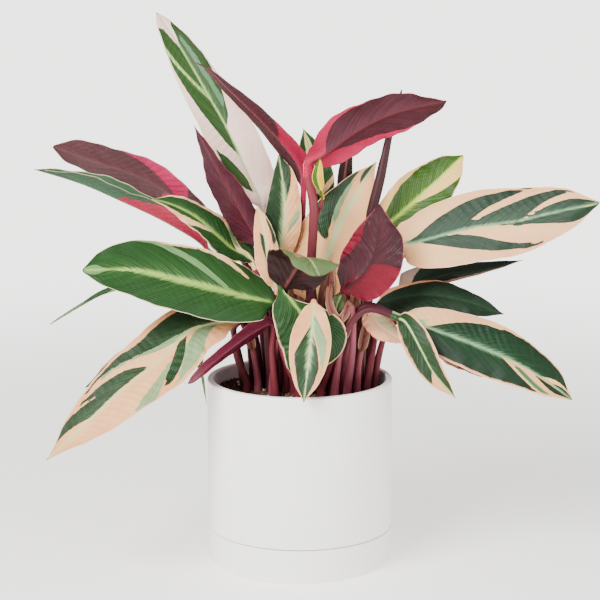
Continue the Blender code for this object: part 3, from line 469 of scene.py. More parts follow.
class PotSettings(bpy.types.PropertyGroup):
    outer_radius: bpy.props.FloatProperty(
        name="Outer radius", description="Outside radius of the pot and of the saucer", default=75 * MM,
        unit="LENGTH")
    wall: bpy.props.FloatProperty(
        name="Wall", description="Thickness of the ceramic wall", default=5 * MM, unit="LENGTH")
    rim_height: bpy.props.FloatProperty(
        name="Rim height", description="Height of the pot's rim above the table", default=150 * MM,
        unit="LENGTH")
    seam_height: bpy.props.FloatProperty(
        name="Seam height", description="Height of the line between saucer and pot", default=27 * MM,
        unit="LENGTH")
    glaze_colour: bpy.props.FloatVectorProperty(
        name="Glaze colour", description="Colour of the satin white glaze", subtype="COLOR", size=4, min=0,
        max=1, default=linear("#faf8f6"))


class SoilSettings(bpy.types.PropertyGroup):
    crumb_count: bpy.props.IntProperty(
        name="Crumbs", description="Number of crumbs of peat and bark on the surface", default=2600, min=0)
    crumb_size: bpy.props.FloatProperty(
        name="Crumb size", description="Radius of the largest crumb", default=1.7 * MM, unit="LENGTH")
    perlite_count: bpy.props.IntProperty(
        name="Perlite", description="Number of pale perlite grains", default=90, min=0)
    perlite_size: bpy.props.FloatProperty(
        name="Perlite size", description="Radius of the largest perlite grain", default=2.5 * MM,
        unit="LENGTH")
    seed: bpy.props.IntProperty(name="Seed", description="Seed of the scatter", default=7)


class LeafSettings(bpy.types.PropertyGroup):
    thickness: bpy.props.FloatProperty(
        name="Blade thickness", description="Thickness of a leaf blade", default=0.4 * MM, unit="LENGTH")
    vein_spacing: bpy.props.FloatProperty(
        name="Vein spacing", description="Distance between the side veins along the midrib",
        default=2.6 * MM, unit="LENGTH")
    ripple: bpy.props.FloatProperty(
        name="Ripple", description="Height of the folds that follow the side veins", default=0.35 * MM,
        unit="LENGTH")
    blade_rings: bpy.props.IntProperty(
        name="Rings along a blade", description="Number of cross-sections along a blade", default=84, min=8)
    stalk_rings: bpy.props.IntProperty(
        name="Rings along a stalk", description="Number of cross-sections along a stalk", default=22, min=4)
    half_columns: bpy.props.IntProperty(
        name="Columns in half a blade", description="Number of steps from the midrib to the margin",
        default=10, min=2)


# Helpers

def add_node(tree, kind, inputs=None, **settings):
    """Adds a node with its settings. An input is a value, an output, or a node for its first output."""
    made = tree.nodes.new(kind)
    for name, value in settings.items():
        setattr(made, name, value)
    for socket, value in (inputs or {}).items():
        if isinstance(value, bpy.types.Node):
            value = value.outputs[0]
        if isinstance(value, bpy.types.NodeSocket):
            tree.links.new(value, made.inputs[socket])
        else:
            made.inputs[socket].default_value = value
    return made


def new_material(name):
    """An empty material with its node tree."""
    material = bpy.data.materials.new(name)
    material.use_nodes = True
    material.node_tree.nodes.clear()
    return material, material.node_tree


def new_mesh_object(name, points, faces, materials):
    """An object with this mesh, linked to the scene."""
    mesh = bpy.data.meshes.new(name)
    mesh.from_pydata([tuple(point) for point in points], [], faces)
    for material in materials:
        mesh.materials.append(material)
    mesh.update()
    made = bpy.data.objects.new(name, mesh)
    bpy.context.scene.collection.objects.link(made)
    return made


def smooth_with_edges(mesh, degrees):
    """Smooth shading that breaks where two faces meet at more than this angle."""
    mesh.shade_smooth()
    mesh.set_sharp_from_angle(angle=math.radians(degrees))


def hand_over(piece, node):
    """Lets the piece stand for a solid of the fixed model."""
    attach(piece, "root")
    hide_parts(node)


# Leaf tissue

def leaf_tissue(name, tones, roughness, vein_tone, vein_share):
    """Waxy leaf tissue with its colour bands.

    A living leaf has a thin cuticle over soft tissue: a satin gloss that breaks along the side veins. The
    bands are read from distances in millimetres that each blade carries, and they fray along the veins.
    """
    material, tree = new_material(name)
    spacing = bpy.context.scene.stromanthe_leaves.vein_spacing / MM
    place = add_node(tree, "ShaderNodeAttribute", attribute_name="leaf_mm").outputs["Vector"]
    across_veins = add_node(tree, "ShaderNodeSeparateXYZ", {0: place})
    drawn = {}

    # Noises, as (made, its scale along the veins against across them, lumps per millimetre, detail)
    for key, along_veins, scale, detail in (
            ("sway", 0.35, 0.11, 2.0), ("fringe", 0.08, 0.9, 2.0), ("streaks", 0.10, 0.42, 4.0),
            ("feather", 0.07, 1.3, 3.0), ("clouds", 1.0, 0.035, 1.0)):
        scaled = add_node(tree, "ShaderNodeVectorMath", {0: place, 1: (1.0, along_veins, 1.0)},
                          operation="MULTIPLY")
        drawn[key] = add_node(tree, "ShaderNodeTexNoise", {
            "Vector": scaled, "Scale": scale, "Detail": detail, "Roughness": 0.6})
    for key in ("green_mm", "sage_mm", "pale_mm", "rib_mm", "edge_mm", "tip_mm", "out"):
        drawn[key] = add_node(tree, "ShaderNodeAttribute", attribute_name=key).outputs["Fac"]

    # Sums of the fields, as (made, field, factor, added)
    for made, field, factor, added in (
            ("shift", "sway", 2.8, -2.0), ("shift", "fringe", 1.3, "shift"),
            ("green edge", "green_mm", 1.0, "shift"), ("sage edge", "sage_mm", 1.0, "shift"),
            ("pale edge", "pale_mm", 1.0, "shift"), ("rib edge", "fringe", 8.0, -4.0),
            ("rib edge", "rib_mm", 1.0, "rib edge"), ("bright", "feather", 1.5, -0.35),
            ("bright", "out", -1.0, "bright"), ("flushed", "clouds", 0.9, -0.35),
            ("flushed", "out", 0.45, "flushed")):
        drawn[made] = add_node(tree, "ShaderNodeMath", {
            0: drawn[field], 1: factor, 2: drawn.get(added, added)}, operation="MULTIPLY_ADD")
    swung = add_node(tree, "ShaderNodeMath", {0: drawn["sway"], 1: 5.0}, operation="MULTIPLY")
    phase = add_node(tree, "ShaderNodeMath", {0: across_veins, 1: math.tau / spacing, 2: swung},
                     operation="MULTIPLY_ADD")
    ridge = drawn["ridge"] = add_node(tree, "ShaderNodeMath", {0: phase}, operation="SINE")

    # Shares of a tone, as (made, field, the field's value at no share and at the full share, full share)
    share = {}
    for made, field, low, high, full in (
            ("flushed", "flushed", 0.0, 0.7, 1.0), ("shaded", "streaks", 0.34, 0.74, 1.0),
            ("bright", "bright", 0.1, 0.75, 0.55), ("rimmed", "green_mm", 3.4, 0.2, 0.8),
            ("outer", "out", 0.35, 1.1, 0.6), ("streaked", "streaks", 0.35, 0.7, 0.4),
            ("green", "green edge", -0.45, 0.45, 1.0), ("sage", "sage edge", -0.45, 0.45, 1.0),
            ("pale", "pale edge", -0.45, 0.45, 1.0), ("rib", "rib edge", -2.2, 1.6, 1.0),
            ("vein", "ridge", 0.6, 1.0, vein_share), ("margin", "edge_mm", 0.65, 0.25, 0.8),
            ("dry", "tip_mm", 2.2, 0.8, 0.85)):
        share[made] = add_node(tree, "ShaderNodeMapRange", {
            "Value": drawn[field], "From Min": low, "From Max": high, "To Max": full})

    # Tones laid over each other, as (made, the tone below, share of the tone above, the tone above)
    tone = {key: linear(value) for key, value in {**tones, "dry": "#2b1c10"}.items()}
    for made, below, amount, above in (
            ("pale", "pale", "flushed", "flush"), ("sage", "sage", "streaked", "green"),
            ("green", "green", "bright", "sage"), ("green", "green", "shaded", "dark"),
            ("green", "green", "outer", "dark"), ("green", "green", "rimmed", "dark"),
            ("ground", "pale", "green", "green"), ("ground", "ground", "sage", "sage"),
            ("ground", "ground", "pale", "pale"), ("ground", "ground", "rib", "rib"),
            ("ground", "ground", "vein", vein_tone), ("ground", "ground", "margin", "margin"),
            ("ground", "ground", "dry", "dry")):
        tone[made] = add_node(tree, "ShaderNodeMix", {0: share[amount], 6: tone[below], 7: tone[above]},
                              data_type="RGBA").outputs[2]

    height = add_node(tree, "ShaderNodeMath", {0: ridge, 1: 0.4, 2: drawn["streaks"]},
                      operation="MULTIPLY_ADD")
    bump = add_node(tree, "ShaderNodeBump", {"Strength": 0.5, "Distance": 0.3 * MM, "Height": height})
    gloss = add_node(tree, "ShaderNodeMapRange", {
        "Value": drawn["streaks"], "To Min": roughness - 0.08, "To Max": roughness + 0.08})
    skin = add_node(tree, "ShaderNodeBsdfPrincipled", {
        "Base Color": tone["ground"], "Roughness": gloss, "Normal": bump, "IOR": 1.45,
        "Specular IOR Level": 0.28})
    add_node(tree, "ShaderNodeOutputMaterial", {"Surface": skin})
    return material


def stalk_tissue(name, low, high):
    """Smooth juicy stalk tissue: one tone at the soil, another at the blade, and faint lengthwise streaks."""
    material, tree = new_material(name)
    place = add_node(tree, "ShaderNodeAttribute", attribute_name="leaf_mm").outputs["Vector"]
    along = add_node(tree, "ShaderNodeSeparateXYZ", {0: place})
    drawn = add_node(tree, "ShaderNodeVectorMath", {0: place, 1: (0.04, 1.0, 1.0)}, operation="MULTIPLY")
    streak = add_node(tree, "ShaderNodeTexNoise", {"Vector": drawn, "Scale": 0.9, "Detail": 3.0})
    rise = add_node(tree, "ShaderNodeMapRange", {"Value": along, "From Min": -110.0, "From Max": -5.0})
    mixed = add_node(tree, "ShaderNodeMath", {0: streak, 1: 0.9, 2: rise}, operation="MULTIPLY_ADD")
    share = add_node(tree, "ShaderNodeMath", {0: mixed, 1: 0.45}, operation="SUBTRACT", use_clamp=True)
    ramp = add_node(tree, "ShaderNodeValToRGB", {"Fac": share})
    ramp.color_ramp.elements[0].color = linear(low)
    ramp.color_ramp.elements[1].color = linear(high)
    bump = add_node(tree, "ShaderNodeBump", {"Strength": 0.4, "Distance": 0.2 * MM, "Height": streak})
    skin = add_node(tree, "ShaderNodeBsdfPrincipled", {
        "Base Color": ramp, "Roughness": 0.5, "Normal": bump, "IOR": 1.45, "Specular IOR Level": 0.25})
    add_node(tree, "ShaderNodeOutputMaterial", {"Surface": skin})
    return material


# Leaf shapes: lengths in millimetres, shares of the blade's length where it says so

NECK_SHARE = 0.07  # share of the blade over which the round stalk flattens into it
TIP_SHARE = 0.997  # share of the blade at which its last ring lies
VEIN_SLANT = 0.28  # share of the blade by which a side vein runs ahead on its way to the margin
PATH_STEPS = 16  # steps of the smooth line between two given points
DIRECTION_REACH = 0.02  # share of the line on each side of a point over which its direction is taken
POINT_NARROWING, POINT_BEND = 0.55, 1.4  # how much and how suddenly the tip is drawn in towards its point
COLUMN_CROWDING = 1.25  # above 1 the columns of points crowd towards the midrib
HALF_LAG = 0.3  # share of a wave by which one margin is ahead of the other
SMALL_HEIGHT, SMALL_NUMBER, SMALL_LAG = 0.3, 3.7, 0.4  # the small wave on the margin's wave, against it
WAVY_HALF, RIPPLED_HALF = 10, 12  # half widths from which the waves and the folds have their full height
RIPPLE_LENGTH = 7.0  # distance between two folds, along the midrib
TIP_START, TIP_HALF = 0.9, 0.3  # from this share on, the blade stays at least this wide on each half
STALK_EXCESS = 1.08  # a stalk's radius against the solid's, so that it covers it
FOOT_SWELL, FOOT_REACH, FOOT_BEND = 0.5, 0.6, 0.8  # how much wider the foot is, how far up, how suddenly
ROLL_SWELL, ROLL_POINT = 0.3, 0.4  # how much a rolled leaf swells, and how fast it narrows to its tip
ROLL_SEAM, ROLL_TURNS = 0.14, 1.2  # height of the seam that winds round a rolled leaf, and its turns
RIB_DEPTH, RIB_WIDTH = 0.9, 0.8  # how far the midrib stands out below, and its half width, in stalk radii
RIB_ABOVE = 0.25  # share of that depth by which it stands out above
MARGIN_THINNING, THINNING_BEND = 0.6, 6  # how much and how suddenly the blade thins towards its margin
RIB_LINE, RIB_LINE_TAPER = 0.8, 0.6  # half the width of the pale line on the midrib, and how it narrows
RIB_LINE_SHARPNESS, RIB_LINE_LEAST = 48, 8.0  # the line is softer on a blade of more than this half width
NECK_FADE, NECK_FADE_SHARE = 12, 0.05  # how far and over which share the line fades towards the neck
MARGIN_LEAST = 3  # half width below which the blade has no pale margin
SIDE_OVERLAP = 0.3  # how far a band of one half reaches over the midrib
SIDE_APART, LEAF_APART, LEAF_KINDS = 3, 11, 97  # keep the patterns of two sides and of two leaves apart

# The corners of a quad in its two triangles, on the upper and on the lower side of a blade
UPPER_SPLIT = np.array([[0, 1, 2], [0, 2, 3]])
LOWER_SPLIT = np.array([[0, 1, 3], [1, 2, 3]])

# The square sheet that a leaf's colours are baked on, in shares of its side
SHEET_EDGE = 0.01
UPPER_START, LOWER_START, BLADE_HEIGHT = 0.54, 0.08, 0.9  # where the two sides start, height of both
STALK_HEIGHT, CAP_SIZE = 0.05, 0.002


class Line(NamedTuple):
    """The line of a leaf from the stalk's foot to the tip, with an entry for each ring of points."""

    shares: np.ndarray  # share of the whole line
    blade: np.ndarray  # share of the blade, and 0 along the stalk
    places: np.ndarray
    right: np.ndarray
    up: np.ndarray
    soil: float  # share of the line that is in the soil
    neck: float  # share of the line at which the blade begins
    length: float


def unit(vectors):
    """The vectors, brought to length one."""
    return vectors / np.linalg.norm(vectors, axis=-1, keepdims=True)


def name_sum(name):
    """A fixed number for the name, to seed what is drawn at random."""
    return sum(ord(letter) for letter in name)


def smooth_path(points, samples):
    """Places and directions at the samples, as shares of the length, on a smooth curve through the points."""
    points = np.asarray(points, float)
    padded = np.vstack([2 * points[0] - points[1], points, 2 * points[-1] - points[-2]])
    share = np.linspace(0, 1, PATH_STEPS, endpoint=False)[:, None]
    fine = [0.5 * (2 * b + (c - a) * share + (2 * a - 5 * b + 4 * c - d) * share**2
                   + (3 * b - a - 3 * c + d) * share**3)
            for a, b, c, d in zip(padded, padded[1:], padded[2:], padded[3:])]
    fine = np.vstack(fine + [points[-1:]])
    along = np.concatenate([[0], np.cumsum(np.linalg.norm(np.diff(fine, axis=0), axis=1))])
    wanted = np.asarray(samples) * along[-1]
    reach = DIRECTION_REACH * along[-1]

    def at(distance):
        return np.stack([np.interp(distance, along, fine[:, axis]) for axis in range(3)], axis=1)

    ahead, behind = at(np.minimum(wanted + reach, along[-1])), at(np.maximum(wanted - reach, 0))
    return at(wanted), unit(ahead - behind), along[-1]


def leaf_line(leaf, settings):
    """The rings' places and ways, from the stalk's foot in the soil to the tip."""
    foot = np.array([*leaf.foot, SOIL_HEIGHT], float)
    path = [foot - (0, 0, HOLE_DEPTH), foot + (0, 0, STRAIGHT_START / 4), foot + (0, 0, STRAIGHT_START),
            *leaf.stalk, *leaf.rib]
    steps = np.linalg.norm(np.diff(np.asarray(path, float), axis=0), axis=1)
    soil = steps[0] / steps.sum()
    neck = steps[:len(path) - len(leaf.rib)].sum() / steps.sum()
    count = settings.stalk_rings
    stalk = soil + (neck - soil) * np.arange(count - 1) / (count - 1)
    blade = np.concatenate([[0.0], TIP_SHARE * np.linspace(0, 1, settings.blade_rings)[1:]])
    shares = np.concatenate([[0.0], stalk, neck + (1 - neck) * blade])
    blade = np.concatenate([np.zeros(count), blade])
    places, along, length = smooth_path(path, shares)
    faces = np.asarray(leaf.faces, float)
    at = blade * (len(faces) - 1)
    face = np.stack([np.interp(at, range(len(faces)), faces[:, axis]) for axis in range(3)], axis=1)
    up = unit(face - along * (face * along).sum(axis=1, keepdims=True))
    return Line(shares, blade, places, np.cross(along, up), up, soil, neck, length)


def outline(leaf, share, shape):
    """Half the blade's width at these shares of its length: an oval that runs out to a drawn-out point."""
    rise, fall = shape
    widest = rise / (rise + fall)
    full = widest**rise * (1 - widest) ** fall
    drawn = np.clip((share - 1 + leaf.point) / leaf.point, 0, 1)
    oval = leaf.width / 2 * share**rise * (1 - share) ** fall / full
    return oval * (1 - POINT_NARROWING * drawn**POINT_BEND)


def half_widths(leaf, share, across):
    """Half the blade's width at each point, where the left half may have its own outline."""
    half = outline(leaf, share, leaf.shape)
    if not leaf.far_shape:
        return half
    *far_shape, far_width = leaf.far_shape
    return np.where(across > 0, half, far_width * outline(leaf, share, far_shape))


def stalk_radii(leaf, line):
    """The radius of each ring: wider at the foot, and on a rolled leaf swollen and then drawn to a tip."""
    run = np.clip((line.shares - line.soil) / (line.neck - line.soil), 0, 1)
    foot = np.clip(1 - run / FOOT_REACH, 0, 1) ** FOOT_BEND
    radius = leaf.stalk_radius * (STALK_EXCESS + FOOT_SWELL * foot)
    if not leaf.width:
        swell = 1 + ROLL_SWELL * np.sin(np.pi * np.sqrt(line.blade))
        radius = radius * swell * (1 - line.blade) ** ROLL_POINT
    return radius[:, None]


def blade_offsets(leaf, settings, share, across, under, half, vein, length, radius):
    """How far each point of a blade lies to the right of its midrib and above it."""
    distance = np.abs(across)
    side = (across > 0).astype(int)
    fold = np.radians(np.asarray(leaf.fold))[side]
    slope = fold + np.radians(np.asarray(leaf.curl))[side] * distance
    height, number, phase = leaf.wave
    swing = np.sin(math.tau * (number * share + phase + HALF_LAG * side))
    swing += SMALL_HEIGHT * np.sin(math.tau * (SMALL_NUMBER * number * share + SMALL_LAG * side + phase))
    lift = height * distance**2 * swing * np.minimum(half / WAVY_HALF, 1)
    ripple = np.sin(math.tau * vein * length / RIPPLE_LENGTH) * np.sin(np.pi * distance)
    lift = lift + leaf.ripple * settings.ripple / MM * ripple * np.minimum(half / RIPPLED_HALF, 1)
    sideways = across * np.cos((fold + slope) / 2) * half
    tip = np.sign(across) * np.maximum(np.abs(sideways), distance * TIP_HALF)
    sideways = np.where(share > TIP_START, tip, sideways)
    upward = distance * np.sin((fold + slope) / 2) * half + lift

    rib = radius * (1 - share) * RIB_DEPTH
    rib = rib * np.exp(-((across * np.maximum(half, 0.01)) / (RIB_WIDTH * leaf.stalk_radius)) ** 2)
    margin = 1 - MARGIN_THINNING * distance**THINNING_BEND
    offset = settings.thickness / MM / 2 * margin * (1 - 2 * under) - np.where(under, rib, RIB_ABOVE * rib)
    return sideways - np.sign(across) * np.sin(slope) * offset, upward + np.cos(slope) * offset


def band_distance(band, vein, across, length, half_width):
    """How far inside the band each point lies, in millimetres, and negative outside it."""
    _, side, *stations = band
    out, near, far = np.array(stations, float).T
    distance = np.abs(across)
    limits = [(vein - np.interp(distance, out, near)) * length,
              (np.interp(distance, out, far) - vein) * length]
    if out[0] > 0:
        limits.append((distance - out[0]) * half_width)
    if out[-1] < 1:
        limits.append((out[-1] - distance) * half_width)
    if side:
        limits.append(across * side * half_width + SIDE_OVERLAP)
    return np.min(limits, axis=0)


def grown_bands(leaf):
    """Bands for a leaf that no picture shows: a few sectors on each half, drawn from a fixed seed."""
    draw = np.random.default_rng(name_sum(leaf.name))
    bands = []
    for side in (-1, 1):
        start = draw.uniform(0.0, 0.15)
        while start < 0.75:
            end = start + draw.uniform(0.1, 0.28)
            out = draw.uniform(0.6, 1.0)
            slip = draw.uniform(0.02, 0.12)
            tone = "sage" if draw.random() < 0.25 else "green"
            bands.append((tone, side, (0.02, start, end), (0.5 * out, start + 0.3 * slip, end),
                          (out, start + slip, max(end - 0.02, start + slip + 0.02))))
            start = end + draw.uniform(0.02, 0.16)
    return bands


def tone_fields(leaf, vein, across, length):
    """The distance fields, in millimetres, of the tones that the leaf's bands have."""
    marks = MARKS[leaf.name]
    bands = marks.bands or (grown_bands(leaf) if leaf.name.startswith("leaf_back") else [])
    half_width = max(leaf.width / 2, 1.0)
    fields = {}
    for tone in BAND_TONES:
        found = [band_distance(band, vein, across, length, half_width) for band in bands if band[0] == tone]
        if tone == marks.ground and tone != "pale":
            found = [np.full(vein.shape, FAR_MM)]
        fields[tone + "_mm"] = np.max(found, axis=0) if found else np.full(vein.shape, -FAR_MM)
    return fields


def tissue_values(leaf, line, share, across, under, half, vein, length, angle):
    """What each point carries for the tissue: its place, and its distances from bands, margin and tip."""
    across = across + 0 * share
    distance = np.abs(across)
    carried = tone_fields(leaf, vein, across, length)
    rib_line = RIB_LINE * (1 - RIB_LINE_TAPER * share) - np.abs(across * half)
    rib_line = rib_line * RIB_LINE_SHARPNESS / max(leaf.width / 2, RIB_LINE_LEAST)
    rib_line = rib_line - NECK_FADE * np.clip(1 - share / NECK_FADE_SHARE, 0, 1)
    carried["rib_mm"] = np.maximum(carried["rib_mm"], rib_line)
    carried["out"] = distance
    carried["edge_mm"] = np.where(half > MARGIN_LEAST, (1 - distance) * half, FAR_MM)
    carried["tip_mm"] = np.where(share > 0, (1 - share) * length, FAR_MM)
    run = (line.shares - line.neck)[:, None] * line.length
    on_stalk = share == 0
    carried["leaf_mm"] = np.stack([
        np.where(on_stalk, run, vein * length),
        np.where(on_stalk, angle * leaf.stalk_radius, across * max(leaf.width / 2, 1)),
        LEAF_APART * float(name_sum(leaf.name) % LEAF_KINDS) + SIDE_APART * under + 0 * share], axis=-1)
    return carried


def leaf_grid(leaf, settings):
    """A leaf's rings of points, each over the upper side and back under it, with what each point carries."""
    line = leaf_line(leaf, settings)
    length = line.length * (1 - line.neck)
    columns = np.linspace(-1, 1, 2 * settings.half_columns + 1)
    columns = np.sign(columns) * np.abs(columns) ** COLUMN_CROWDING
    across = np.concatenate([columns, columns[::-1]])[None, :]
    under = np.repeat([0, 1], len(columns))[None, :]
    turn = np.pi * (1 - (np.arange(len(columns)) + 0.5) / len(columns))
    angle = np.concatenate([turn, turn - np.pi])[None, :]
    share = line.blade[:, None] + 0 * across
    vein = share - VEIN_SLANT * np.abs(across)
    half = half_widths(leaf, share, across)

    radius = stalk_radii(leaf, line)
    sideways, upward = blade_offsets(leaf, settings, share, across, under, half, vein, length, radius)
    flat = np.minimum(share / NECK_SHARE, 1.0)
    if not leaf.width:
        flat = 0 * share
        radius = radius * (1 + ROLL_SEAM * ((angle / math.tau + ROLL_TURNS * share) % 1.0))
    sideways = (1 - flat) * np.cos(angle) * radius + flat * sideways
    upward = (1 - flat) * np.sin(angle) * radius + flat * upward
    points = (line.places[:, None] + line.right[:, None] * sideways[..., None]
              + line.up[:, None] * upward[..., None])
    return points * MM, tissue_values(leaf, line, share, across, under, half, vein, length, angle)


def ring_faces(rings, around):
    """Triangles between the rings, split alike on both sides of a blade, and a fan of quads over each end."""
    here = np.arange((rings - 1) * around)
    there = here - here % around + (here + 1) % around
    corners = np.stack([here, there, there + around, here + around], axis=1)
    upper = (here % around < around // 2)[:, None, None]
    faces = np.take_along_axis(corners[:, None], np.where(upper, UPPER_SPLIT, LOWER_SPLIT), axis=2)
    faces = faces.reshape(-1, 3).tolist()
    last = (rings - 1) * around
    for step in range(around // 2 - 1):
        near, far = step, step + 1
        back, after = around - 1 - step, around - 2 - step
        faces.append([near, back, after, far])
        faces.append([last + near, last + far, last + after, last + back])
    return faces


def quad_cells(rings, around):
    """The ring and the column that each quad between the rings starts from."""
    return np.repeat(np.arange(rings - 1), around), np.tile(np.arange(around), rings - 1)


def bake_places(rings, around, stalk_rings):
    """A place on the sheet for each corner of the faces: upper side, then underside, and the stalk lowest."""
    ring, column = quad_cells(rings, around)
    half = around // 2
    corners = np.stack([np.stack([ring, column], 1), np.stack([ring, column + 1], 1),
                        np.stack([ring + 1, column + 1], 1), np.stack([ring + 1, column], 1)], axis=1)
    within = corners[..., 1] / around
    stalk = (ring < stalk_rings - 1)[:, None]
    run = np.where(stalk, corners[..., 0] / (stalk_rings - 1),
                   (corners[..., 0] - stalk_rings + 1) / (rings - stalk_rings))
    u = SHEET_EDGE + (1 - 2 * SHEET_EDGE) * run
    v = np.where(column[:, None] < half, UPPER_START + BLADE_HEIGHT * within,
                 LOWER_START + BLADE_HEIGHT * (within - 0.5))
    v = np.where(stalk, SHEET_EDGE + STALK_HEIGHT * within, v)
    split = np.where((column < half)[:, None, None], UPPER_SPLIT, LOWER_SPLIT).reshape(-1, 6)
    places = np.stack([np.take_along_axis(u, split, 1), np.take_along_axis(v, split, 1)], axis=-1)
    caps = np.full((2 * (half - 1), 4, 2), CAP_SIZE)
    caps[:, 1:3, 0] += CAP_SIZE
    caps[:, 2:, 1] += CAP_SIZE
    return np.concatenate([places.reshape(-1, 2), caps.reshape(-1, 2)])


def build_leaf(leaf, tissues):
    """One leaf as a mesh, whose tissues are those of its upper side, its underside and its stalk."""
    settings = bpy.context.scene.stromanthe_leaves
    points, carried = leaf_grid(leaf, settings)
    rings, around = points.shape[:2]
    name = leaf.name.replace("leaf_", "") + "_leaf"
    made = new_mesh_object(name, points.reshape(-1, 3), ring_faces(rings, around), tissues)
    mesh = made.data
    for key, values in carried.items():
        vector = values.ndim == 3
        attribute = mesh.attributes.new(key, "FLOAT_VECTOR" if vector else "FLOAT", "POINT")
        attribute.data.foreach_set("vector" if vector else "value", values.astype(np.float32).ravel())
    sheet = mesh.uv_layers.new(name=UV_NAME)
    places = bake_places(rings, around, settings.stalk_rings)
    sheet.data.foreach_set("uv", places.astype(np.float32).ravel())

    upper, under, stalk = range(3)
    caps = around // 2 - 1
    ring, column = quad_cells(rings, around)
    slots = np.where(column < caps, upper, under)
    slots = np.where(ring < settings.stalk_rings - 1, stalk, slots)
    if not leaf.width:
        slots[:] = stalk
    slots = np.concatenate([np.repeat(slots, 2), np.tile([stalk, slots[-1]], caps)])
    mesh.polygons.foreach_set("material_index", slots.astype(np.int32))
    smooth_with_edges(mesh, degrees=70)
    return made


# Turned ceramic: lengths in millimetres

GAP = 0.3  # half the seam between saucer and pot, and what stays free under the pot's foot and round the soil
SAUCER_FLOOR = 5.0
FOOT_RADIUS = 68.5
POT_FLOOR = 6.0
WELL_RADIUS = 62.0  # inside radius of the foot
WELL_TOP, SLOPE_TOP = 27.5, 34.0  # between these heights the inside widens from the foot to the wall
GLAZE_SWELL_SCALE, GLAZE_GRAIN_SCALE = 28.0, 900.0  # per metre: about 36 mm and 1.1 mm apart
AXIS = 0.001  # as near to the axis as a profile starts, so that the middle can be closed
CLOSE_REACH = 0.02  # points nearer than this are made one


def turned_object(name, profile, material, steps=160):
    """A body turned round the vertical axis from a closed profile."""
    profile = np.asarray(profile, float)
    angles = math.tau * np.arange(steps)[:, None] / steps
    rings = np.stack([profile[:, 0] * np.cos(angles), profile[:, 0] * np.sin(angles),
                      profile[:, 1] + 0 * angles], axis=-1)
    count = len(profile)
    faces = []
    for step in range(steps):
        here, there = step * count, (step + 1) % steps * count
        for side in range(count):
            after = (side + 1) % count
            faces.append((here + side, here + after, there + after, there + side))
    made = new_mesh_object(name, rings.reshape(-1, 3) * MM, faces, [material])
    merge = made.modifiers.new("Close the middle", "WELD")
    merge.merge_threshold = CLOSE_REACH * MM
    graph = bpy.context.evaluated_depsgraph_get()
    solid = bpy.data.meshes.new_from_object(made.evaluated_get(graph))
    made.modifiers.remove(merge)
    made.data = solid
    smooth_with_edges(solid, degrees=40)
    return made


def rounded(corners, reaches, steps=5):
    """The corners as a line that turns in curves, each of which starts and ends this far from its corner."""
    corners = [np.array(corner, float) for corner in corners]
    line = []
    for index, (corner, reach) in enumerate(zip(corners, reaches)):
        if not reach:
            line.append(corner)
            continue
        start = corner + unit(corners[index - 1] - corner) * reach
        end = corner + unit(corners[(index + 1) % len(corners)] - corner) * reach
        for share in np.linspace(0, 1, steps):
            line.append((1 - share) ** 2 * start + 2 * share * (1 - share) * corner + share**2 * end)
    return line


def satin_ceramic(name):
    """White stoneware under a satin glaze: smooth and slightly uneven, with a soft highlight."""
    settings = bpy.context.scene.stromanthe_pot
    material, tree = new_material(name)
    place = add_node(tree, "ShaderNodeTexCoord").outputs["Object"]
    swell, grain = [
        add_node(tree, "ShaderNodeTexNoise", {"Vector": place, "Scale": scale, "Detail": 2.0})
        for scale in (GLAZE_SWELL_SCALE, GLAZE_GRAIN_SCALE)]
    tint = add_node(tree, "ShaderNodeMapRange", {"Value": swell, "To Min": 0.0, "To Max": 0.12})
    colour = add_node(tree, "ShaderNodeMix", {0: tint, 6: settings.glaze_colour, 7: linear("#efebe6")},
                      data_type="RGBA").outputs[2]
    relief = add_node(tree, "ShaderNodeMath", {0: grain, 1: 0.15, 2: swell}, operation="MULTIPLY_ADD")
    bump = add_node(tree, "ShaderNodeBump", {"Strength": 0.25, "Distance": 0.25 * MM, "Height": relief})
    gloss = add_node(tree, "ShaderNodeMapRange", {"Value": swell, "To Min": 0.3, "To Max": 0.42})
    glaze = add_node(tree, "ShaderNodeBsdfPrincipled", {
        "Base Color": colour, "Roughness": gloss, "Normal": bump, "IOR": 1.5})
    add_node(tree, "ShaderNodeOutputMaterial", {"Surface": glaze})
    return material


# Potting mix: lengths in millimetres

SOIL_STEPS, SOIL_RINGS = 96, 26  # points of a ring, and rings
SOIL_SWELL = 0.9  # how far the surface rises and falls
LUMP_SCALE, GRAIN_SCALE = 320.0, 700.0  # per metre: lumps about 3 mm apart, and a grain's bumps about 1.4 mm


def potting_mix(name, dark, light, roughness=0.95):
    """Damp peat and bark: dark brown, matt and crumbly, lighter where a crumb has dried."""
    material, tree = new_material(name)
    place = add_node(tree, "ShaderNodeTexCoord").outputs["Object"]
    lumps = add_node(tree, "ShaderNodeTexNoise", {
        "Vector": place, "Scale": LUMP_SCALE, "Detail": 5.0, "Roughness": 0.7})
    ramp = add_node(tree, "ShaderNodeValToRGB", {"Fac": lumps})
    for element, position, colour in zip(ramp.color_ramp.elements, (0.35, 0.75), (dark, light)):
        element.position = position
        element.color = linear(colour)
    bump = add_node(tree, "ShaderNodeBump", {"Strength": 0.8, "Distance": 0.6 * MM, "Height": lumps})
    mix = add_node(tree, "ShaderNodeBsdfPrincipled", {
        "Base Color": ramp, "Roughness": roughness, "Normal": bump, "IOR": 1.4})
    add_node(tree, "ShaderNodeOutputMaterial", {"Surface": mix})
    return material


def uneven(x, y, phases):
    """How far the surface of the soil is lifted at this place: a few crossed waves of falling height."""
    return sum(math.sin(x * (0.05 + 0.06 * n) + a) * math.sin(y * (0.07 + 0.05 * n) + b) / (n + 1)
               for n, (a, b) in enumerate(phases))


